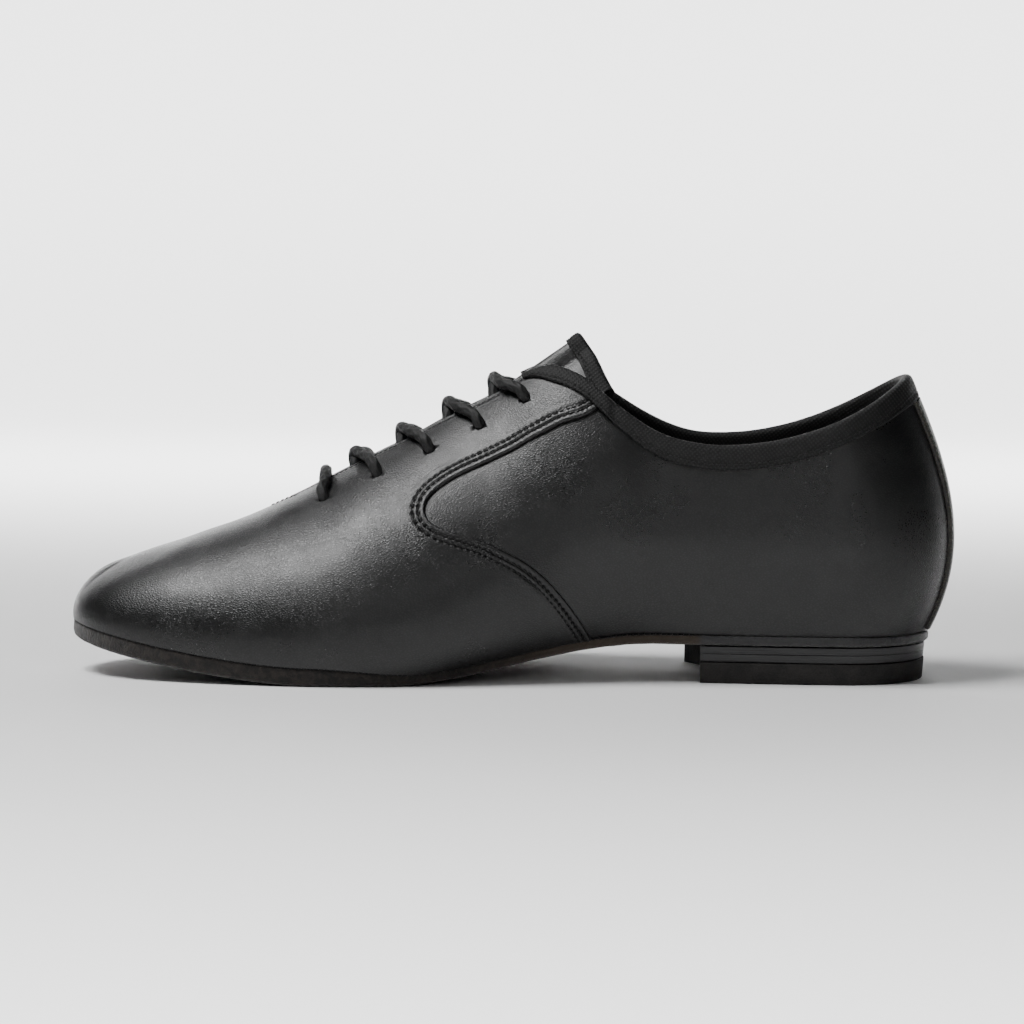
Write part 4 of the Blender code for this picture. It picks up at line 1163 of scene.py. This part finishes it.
def build_back_strap():
    """Strip up the back of the heel with a rounded, stitched edge."""
    rises = np.linspace(0.012, 1, 120)
    turns = np.linspace(0.80, 1, 400)
    top = rise_at_binding(1.0)
    shares, heights = np.array(STRAP_PROFILE).T
    depths = heights * MM
    rows = []
    for rise in rises[rises <= top]:
        points = wall_point(turns, as_side(turns, rise), as_side(turns, 1.0))
        legs = np.linalg.norm(np.diff(points, axis=0), axis=1)
        reach = np.concatenate([np.cumsum(legs[::-1])[::-1], [0]])
        places = np.interp(STRAP_HALF * shares, reach[::-1], turns[::-1])
        inner = offset_point(places, rise, -1.0, depths)
        outer = offset_point(places[-2::-1], rise, 1.0, depths[-2::-1])
        rows.append(np.concatenate([inner, outer]))
    rows = np.array(rows)
    # The strip takes the olive-brown painted rim highlight as its colour
    place(open_skin("back_strap_strip", rows, STRAP_PAINTED_RIM_LIGHT), "strap_leather", "back_strap")
    lines = []
    for column, out in ((6, [0.3, -1.0, 0.0]), (-7, [0.3, 1.0, 0.0])):
        normals = np.tile(out, (len(rows), 1))
        lines.append((rows[:, column] + normals * 0.05 * MM, normals))
    sew("back_strap_stitches", lines, THREAD, "strap_leather", pitch=1.9 * MM, radius=0.2 * MM)


def rise_at_binding(turn):
    """Rise where the collar binding's lower edge lies."""
    return rises_below_edge(np.array([turn]), 1, np.array([[BINDING_DROP]]))[0, 0]


# Tongue, insole, sole and heel

# Band round the tongue's end: shares of its depth back from the end, millimetres on from
# there, and millimetres below the top face.
TONGUE_END_BAND = [
    (1, 0, -0.05), (1, 0, -0.7), (1, 0.35, -0.95), (1, 0.8, -0.85), (1, 1.2, -0.7), (1, 1.6, -0.85),
    (0.5, 0, -1.05), (0, -0.4, -1.05), (0, 0.35, -0.8), (0, 0.85, 0.0), (0, 0.95, 0.9), (0, 0.85, 1.9),
    (0, 0.35, 2.7), (0, -0.4, 2.9), (0.5, 0, 2.9), (1, 0, 2.6), (1, 0, 1.85),
]
TONGUE_STITCH = 1.2 * MM  # stitch row beyond the band's edge


def build_tongue():
    stations = np.linspace(TONGUE_START, TONGUE_FREE, 46)
    steps = 44
    grids = []
    for depth in (0.0, 0.25 * MM, TONGUE_SKIN - 0.25 * MM, TONGUE_SKIN):
        rows = list(tongue_rows(stations, depth, steps))
        for part in np.linspace(0, 1, 19)[1:]:
            rows.append(drooped(free_tongue(rows[len(stations) - 1], part), part))
        grids.append(np.array(rows))
    top, upper_skin, lower_skin, bottom = grids
    section = np.concatenate([top, upper_skin[:, -1:], lower_skin[:, -1:], bottom[:, ::-1],
                              lower_skin[:, :1], upper_skin[:, :1]], axis=1)
    piece = closed_skin("tongue_leather", section, BLACK, sharp=55)
    place(piece, "black_leather", "tongue")
    root = tongue_rows([TONGUE_FREE], 0.0, steps)[0]
    end = np.array([along(TONGUE_END), 0, float(top_height(FACING_CORNER)) + TONGUE_RISE])
    length = float(((end - root) @ tongue_direction()).mean())
    lines = []
    for share, along_end, depth in TONGUE_END_BAND:
        row = tongue_rows([TONGUE_FREE], depth * MM, steps)[0]
        reach = along_end * MM - share * TONGUE_BAND
        row = free_tongue(row, 1 + min(reach, 0) / length, max(reach, 0))
        lines.append(drooped(row, 1 + reach / length))
    points = np.array(lines).transpose(1, 0, 2)
    piece = closed_skin("tongue_end_band", points, TAPE, sharp=60)
    place(piece, "black_binding", "tongue_binding")
    row = tongue_rows([TONGUE_FREE], -0.80 * MM, steps)[0]
    share = 1 - (TONGUE_BAND - TONGUE_STITCH) / length
    line = drooped(free_tongue(row, share), share)
    up = np.tile(np.cross(tongue_direction(), [0, 1, 0]), (len(line), 1))
    sew("tongue_stitches", [(line, up)], THREAD, "black_binding", pitch=1.8 * MM, radius=0.2 * MM)


def drooped(row, part):
    """Both ends of a row of the free tongue hang down behind the collar binding."""
    share = np.abs(np.linspace(-1, 1, len(row)))
    row = row.copy()
    row[:, 2] -= TONGUE_DROOP * smooth((share - 0.55) / 0.45) * min(max(part, 0), 1)
    return row


def sole_loop(turns, spread):
    """Plan of the sole's edge, spread beyond the upper's lower edge, and its outward direction."""
    points, outs = [], []
    for side, order in ((-1, turns), (1, turns[-2:0:-1])):
        x, y = outline(order, as_side(order, side))
        out_x, out_y = outward(order, as_side(order, side))
        points.append(np.stack([x + spread * out_x, y + spread * out_y], -1))
        outs.append(np.stack([out_x, out_y], -1))
    return np.concatenate(points), np.concatenate(outs)


def station_of(x):
    return np.clip(x / LENGTH + 0.5, 0, 1)


def fuzz(count, seed, size):
    """Uneven edge, smooth over two or three steps."""
    random = np.random.default_rng(seed)
    values = random.normal(0, 1, count)
    values = (values + np.roll(values, 1) + 0.5 * np.roll(values, 2)) / 1.5
    return values * size


def disc_faces(count, start, half):
    """Quads that close a loop whose first point is the toe and whose point at half is the heel."""
    faces = []
    for step in range(half):
        face = [step, step + 1, (count - step - 1) % count, (count - step) % count]
        faces.append([start + corner for corner in dict.fromkeys(face)])
    return faces


def layered_disc(name, turns, layers, materials, sharp=50):
    """Solid between loops round the foot; each layer gives its spread and a height for each station."""
    loops = []
    for number, (spread, height_of, rough) in enumerate(layers):
        plan, outs = sole_loop(turns, spread)
        plan = plan + outs * fuzz(len(plan), number, rough)[:, None]
        heights = height_of(station_of(plan[:, 0])) + fuzz(len(plan), 50 + number, rough * 0.6)
        loops.append(np.concatenate([plan, heights[:, None]], axis=1))
    count = len(loops[0])
    faces = grid_faces(len(loops), count, 0, True).tolist()
    half = len(turns) - 1
    faces += disc_faces(count, 0, half)
    faces += disc_faces(count, (len(loops) - 1) * count, half)
    return add_mesh(name, np.concatenate(loops), faces, materials, sharp=sharp)


# Outsole from its top to its underside: millimetres beyond the upper, share of the lip,
# share of the thickness above the underside and share of the roughness.
OUTSOLE_LAYERS = [
    (-12, 0, 1, 0), (-0.6, 0, 1, 0), (0.35, 0, 1, 1), (0, 0.9, 0.93, 1), (0, 1, 0.8, 1), (0, 0.96, 0.62, 1),
    (0, 1, 0.45, 1), (0, 0.95, 0.3, 1), (0, 0.55, 0.14, 1), (-0.3, 0, 0.04, 1), (-1.6, 0, 0, 0),
    (-6, 0, 0, 0),
]
SOLE_ROUGHNESS = 0.045 * MM
STITCHED_SOLE = 0.70  # station to which the sole's stitches show

# Insole: millimetres further in and share of the thickness.
INSOLE_LAYERS = [(0, 0), (0, 0.6), (0.3, 0.85), (0.9, 0.98), (3, 1)]


def between(share):
    """Height in the outsole at a share of its thickness."""
    return lambda station: underside(station) + sole_thickness(station) * share


def above_seat(height):
    return lambda station: seat(station) + height


def build_outsole():
    turns = np.linspace(0, 1, 330)
    layers = [(aside * MM + lip * SOLE_LIP, between(share), rough * SOLE_ROUGHNESS)
              for aside, lip, share, rough in OUTSOLE_LAYERS]
    place(layered_disc("outsole_suede", turns, layers, [SUEDE]), "black_suede", "outsole")
    plan, outs = sole_loop(turns, 0.25 * MM)
    heights = seat(station_of(plan[:, 0])) + 0.15 * MM
    points = np.concatenate([plan, heights[:, None]], axis=1)
    normals = np.concatenate([outs, np.full((len(outs), 1), 0.5)], axis=1)
    shown = (points[:, 0] < along(STITCHED_SOLE)) & (points[:, 1] < 0)
    sew("sole_stitches", [(points[shown], normals[shown])], THREAD, "black_suede", pitch=1.7 * MM,
        radius=0.26 * MM)


def build_insole():
    inset = -(WALL * 1.35 + 2 * GAP)
    layers = [(inset - further * MM, above_seat(GAP + INSOLE * share), 0.0)
              for further, share in INSOLE_LAYERS]
    disc = layered_disc("insole_sock", np.linspace(0, 1, 160), layers, [SOCK], 60)
    place(disc, "black_lining", "insole")


def heel_plan(inset, steps=90):
    """Heel in plan, round at the back and hollow at the breast, and where the breast starts."""
    sides = []
    for side, front in ((-1.0, BREAST), (1.0, BREAST - BREAST_SLANT)):
        turns = np.linspace(float(turn_at_base(front)), 1, steps)
        edge = np.stack(outline(turns, as_side(turns, side)), -1)
        out = np.stack(outward(turns, as_side(turns, side)), -1)
        sides.append(edge - inset * out)
    inner, outer = sides[0], sides[1][-2::-1]
    part = np.linspace(0, 1, 40)[1:-1, None]
    breast = outer[-1] + (inner[0] - outer[-1]) * part
    breast[:, :1] += BREAST_HOLLOW * (1 - (2 * part - 1) ** 2)
    return np.concatenate([inner, outer, breast])


def build_heel_layer(name, material, slot, node, heights):
    """Layer of the heel from pairs of a height and how far the side stands in there."""
    loops = []
    for height, inset in heights:
        plan = heel_plan(HEEL_TAPER * (1 - height / HEEL_HEIGHT) + inset)
        loops.append(np.concatenate([plan, np.full((len(plan), 1), height)], axis=1))
    place(closed_skin(name, np.array(loops), material, sharp=40), slot, node)


def build_heel():
    edge = 0.35 * MM
    lift = [(0, edge), (edge * 0.4, edge * 0.3), (edge, 0), (TOP_LIFT - edge * 0.6, 0),
            (TOP_LIFT, edge * 0.5)]
    build_heel_layer("top_lift_rubber", RUBBER, "black_rubber", "top_lift", lift)
    low = TOP_LIFT + GAP
    middle = low + HEEL_LIFT * 0.52
    top = low + HEEL_LIFT
    step = 0.12 * MM
    stack = [(low, 0.5 * MM), (low + 0.25 * MM, 0.3 * MM), (middle - step, 0.25 * MM),
             (middle, 0.42 * MM), (middle + step, 0.25 * MM), (top - step, 0.22 * MM), (top, 0.4 * MM)]
    build_heel_layer("heel_stack", PAINT, "painted_heel", "heel_lift", stack)


# Lace

LACE_STRANDS = 5
LACE_LAY = 5.2 * MM  # length of a strand's full turn
LACE_STEP = 0.32 * MM
INSTEP_UP = (-0.42, 0.0, 0.91)  # direction square to the instep
# Shares of the lace's radius
BRAID_SINK = 0.08
BRAID_RISE = 0.085
BRAID_WEAVE = 0.35  # how far one strand passes over the next


def lace_frames(run):
    """Sideways direction of each ring, turned little by little to lie flat on the instep."""
    sideways = np.cross(run[0], INSTEP_UP)
    frames = []
    for direction in run:
        flat_way = np.cross(direction, INSTEP_UP)
        size = np.linalg.norm(flat_way)
        if size > 0.3:
            flat_way *= math.copysign(0.12 / size, flat_way @ sideways)
            sideways = sideways / np.linalg.norm(sideways) + flat_way
        sideways = sideways - direction * (sideways @ direction)
        sideways = sideways / np.linalg.norm(sideways)
        frames.append(sideways)
    return np.array(frames)


def lace_tube(name, route, material, widths):
    """Round braided cord along a route; widths shrink its height where it lies hidden."""
    route = np.array(route)
    legs = run_along(route)
    at = np.linspace(0, legs[-1], int(legs[-1] / LACE_STEP))
    line = np.stack([through(legs, route[:, axis], at) for axis in range(3)], -1)
    flat = np.interp(at, legs, widths)[:, None]
    run = np.gradient(line, axis=0)
    run /= np.linalg.norm(run, axis=1, keepdims=True)
    around = 36
    angles = ring_angles(around)
    sideways = lace_frames(run)
    up = np.cross(sideways, run)
    around_line = LACE_STRANDS * angles[None, :]
    along_line = 2 * math.pi * at[:, None] / LACE_LAY
    first = around_line + along_line
    second = around_line - along_line
    raised = np.maximum(np.cos(first) + BRAID_WEAVE * np.cos(second / 2),
                        np.cos(second) - BRAID_WEAVE * np.cos(first / 2))
    radius = LACE / 2 * (1 - BRAID_SINK + BRAID_RISE * raised)
    points = (line[:, None, :]
              + (radius * np.cos(angles))[..., None] * sideways[:, None, :]
              + (radius * np.sin(angles) * flat)[..., None] * up[:, None, :])
    return closed_skin(name, points, material)


def strand_points(first_side):
    """Route of one end of the lace: from the bar's middle in and out of the eyelets to the top."""
    lift = OVERLAP + LACE / 2 - 0.1 * MM
    hidden = -(WALL + LACE * 0.28)
    over_ridge = {-1: 1.0 * MM, 1: -0.5 * MM}
    pitch = eyelet_station(1) - eyelet_station(0)
    route, flat = [], []

    def add(station, distance, depth, height=1.0):
        route.append((station, distance, depth))
        flat.append(height)

    def opening(station):
        return float(half_opening(np.float64(station)))

    side = first_side
    low = eyelet_station(0)
    add(low - 0.004, 0, lift + 0.3 * MM)
    add(low - 0.003, side * (opening(low) + 2.6 * MM), lift + 0.3 * MM)
    add(low - 0.001, side * (opening(low) + eyelet_inset(0) * 0.55), lift)
    for index in range(EYELETS):
        here = eyelet_station(index)
        reach = opening(here) + eyelet_inset(index)
        if index:
            side = -side
            front = here - pitch * 0.64
            add(front - pitch * 0.10, -side * (opening(front) + 4.5 * MM), hidden, 0.5)
            add(front, -side * (opening(front) + 0.3 * MM), -1.9 * MM, 0.8)
            add(here - pitch * 0.44, 0, lift + over_ridge[side] - 0.1 * MM)
            add(here - pitch * 0.26, side * (opening(here - pitch * 0.26) + 1.4 * MM), lift + 0.5 * MM)
            add(here - pitch * 0.11, side * (opening(here) + eyelet_inset(index) * 0.5), lift + 0.35 * MM)
        add(here - pitch * 0.03, side * (reach - 2.6 * MM), lift - 0.2 * MM)
        add(here - pitch * 0.01, side * (reach - 0.7 * MM), 0.9 * MM, 0.9)
        add(here, side * (reach - 0.1 * MM), -1.0 * MM, 0.85)
        add(here + pitch * 0.05, side * (reach - 1.2 * MM), hidden, 0.5)
        if index < EYELETS - 1:
            add(here + pitch * 0.2, side * (opening(here) + eyelet_inset(index) * 0.6), hidden, 0.5)
    tail = eyelet_station(EYELETS - 1)
    add(tail + 0.010, side * (opening(tail) + eyelet_inset(EYELETS - 1) * 0.7), hidden, 0.5)
    add(tail + 0.026, side * (opening(tail) + eyelet_inset(EYELETS - 1) * 0.9), hidden, 0.5)
    stations, distances, depths = np.array(route).T
    return list(across(stations, distances[:, None], depths[:, None])[:, 0]), flat


def build_lace():
    inner, inner_flat = strand_points(-1)
    outer, outer_flat = strand_points(1)
    route = inner[:0:-1] + outer
    widths = inner_flat[:0:-1] + outer_flat
    nodes = [f"lace_crossing_{index + 1}" for index in range(EYELETS)]
    place(lace_tube("lace", route, BRAID, widths), "black_cord", *nodes)


# Floor, light and camera, in metres

FLOOR_REACH = 3.0
FLOOR_FAR = 1.6  # where the floor starts to bend up
FLOOR_BEND = 0.6
BACKDROP_HEIGHT = 2.0
WORLD_COLOUR = (0.9, 0.92, 0.95, 1)
WORLD_STRENGTH = 0.03
Light = namedtuple("Light", "name place aim size watts spread")
LIGHTS = [
    Light("overhead", (-0.50, -0.17, 1.08), (-0.04, -0.01, 0.04), (0.55, 0.50), 16, 180),
    Light("front_fill", (0.35, -1.6, 0.75), (0.05, 0, 0.05), (0.9, 0.4), 0.5, 90),
    Light("floor_front", (0, -0.85, 1.1), (0, -0.75, 0), (1.8, 0.3), 12, 60),
    Light("floor_wash", (0, 1.05, 1.5), (0, 1.05, 0), (2.6, 0.4), 30, 60),
    Light("backdrop", (0, 1.45, 1.7), (0, 2.2, 0.3), (3.4, 0.4), 46, 80),
]
CAMERA_DISTANCE = 1.0
CAMERA_ELEVATION = 4.2
CAMERA_ROLL = 0.6
CAMERA_AIM = (-0.001, 0.0, 0.0497)
CAMERA_LENS = 112.7
CAMERA_SENSOR = 36
CAMERA_CLIP = 0.01


def build_floor():
    """Pale floor that curves up into a backdrop far behind the shoe."""
    bend = np.linspace(0, math.pi / 2, 24)
    profile = [(-FLOOR_REACH, 0.0)]
    profile += zip(FLOOR_FAR + FLOOR_BEND * np.sin(bend), FLOOR_BEND * (1 - np.cos(bend)))
    profile.append((FLOOR_FAR + FLOOR_BEND, BACKDROP_HEIGHT))
    points = np.array([[(x, y, z) for y, z in profile] for x in (-FLOOR_REACH, FLOOR_REACH)])
    nodes = Nodes("studio_floor", grey(0.93), 0.75)
    floor = open_skin("studio_floor", points, nodes.material)


def add_light(row):
    light = bpy.data.lights.new(row.name, "AREA")
    light.shape = "RECTANGLE"
    light.size, light.size_y = row.size
    light.energy = row.watts
    light.spread = math.radians(row.spread)
    lamp = bpy.data.objects.new(row.name, light)
    bpy.context.collection.objects.link(lamp)
    lamp.location = row.place
    direction = mathutils.Vector(row.aim) - mathutils.Vector(row.place)
    lamp.rotation_euler = direction.to_track_quat("-Z", "Y").to_euler()


def build_lights():
    world = bpy.data.worlds.new("studio")
    bpy.context.scene.world = world
    world.use_nodes = True
    background = world.node_tree.nodes["Background"]
    background.inputs["Color"].default_value = WORLD_COLOUR
    background.inputs["Strength"].default_value = WORLD_STRENGTH
    for row in LIGHTS:
        add_light(row)


def build_camera():
    """Level with the shoe's inner side, a little above it and rolled half a degree."""
    camera = bpy.data.cameras.new("camera")
    camera.lens = CAMERA_LENS
    camera.sensor_width = CAMERA_SENSOR
    camera.clip_start = CAMERA_CLIP
    eye = bpy.data.objects.new("camera", camera)
    bpy.context.collection.objects.link(eye)
    rise = math.radians(CAMERA_ELEVATION)
    back = mathutils.Vector((0, -math.cos(rise), math.sin(rise)))
    eye.location = mathutils.Vector(CAMERA_AIM) + back * CAMERA_DISTANCE
    look = (-back).to_track_quat("-Z", "Y").to_matrix()
    roll = mathutils.Matrix.Rotation(math.radians(CAMERA_ROLL), 3, "Z")
    eye.rotation_euler = (look @ roll).to_euler()
    bpy.context.scene.camera = eye


build_quarters()
build_front_piece()
build_seams()
build_throat_edges()
build_tack()
build_collar_binding()
build_back_strap()
build_tongue()
build_insole()
build_outsole()
build_heel()
build_lace()
build_floor()
build_lights()
build_camera()
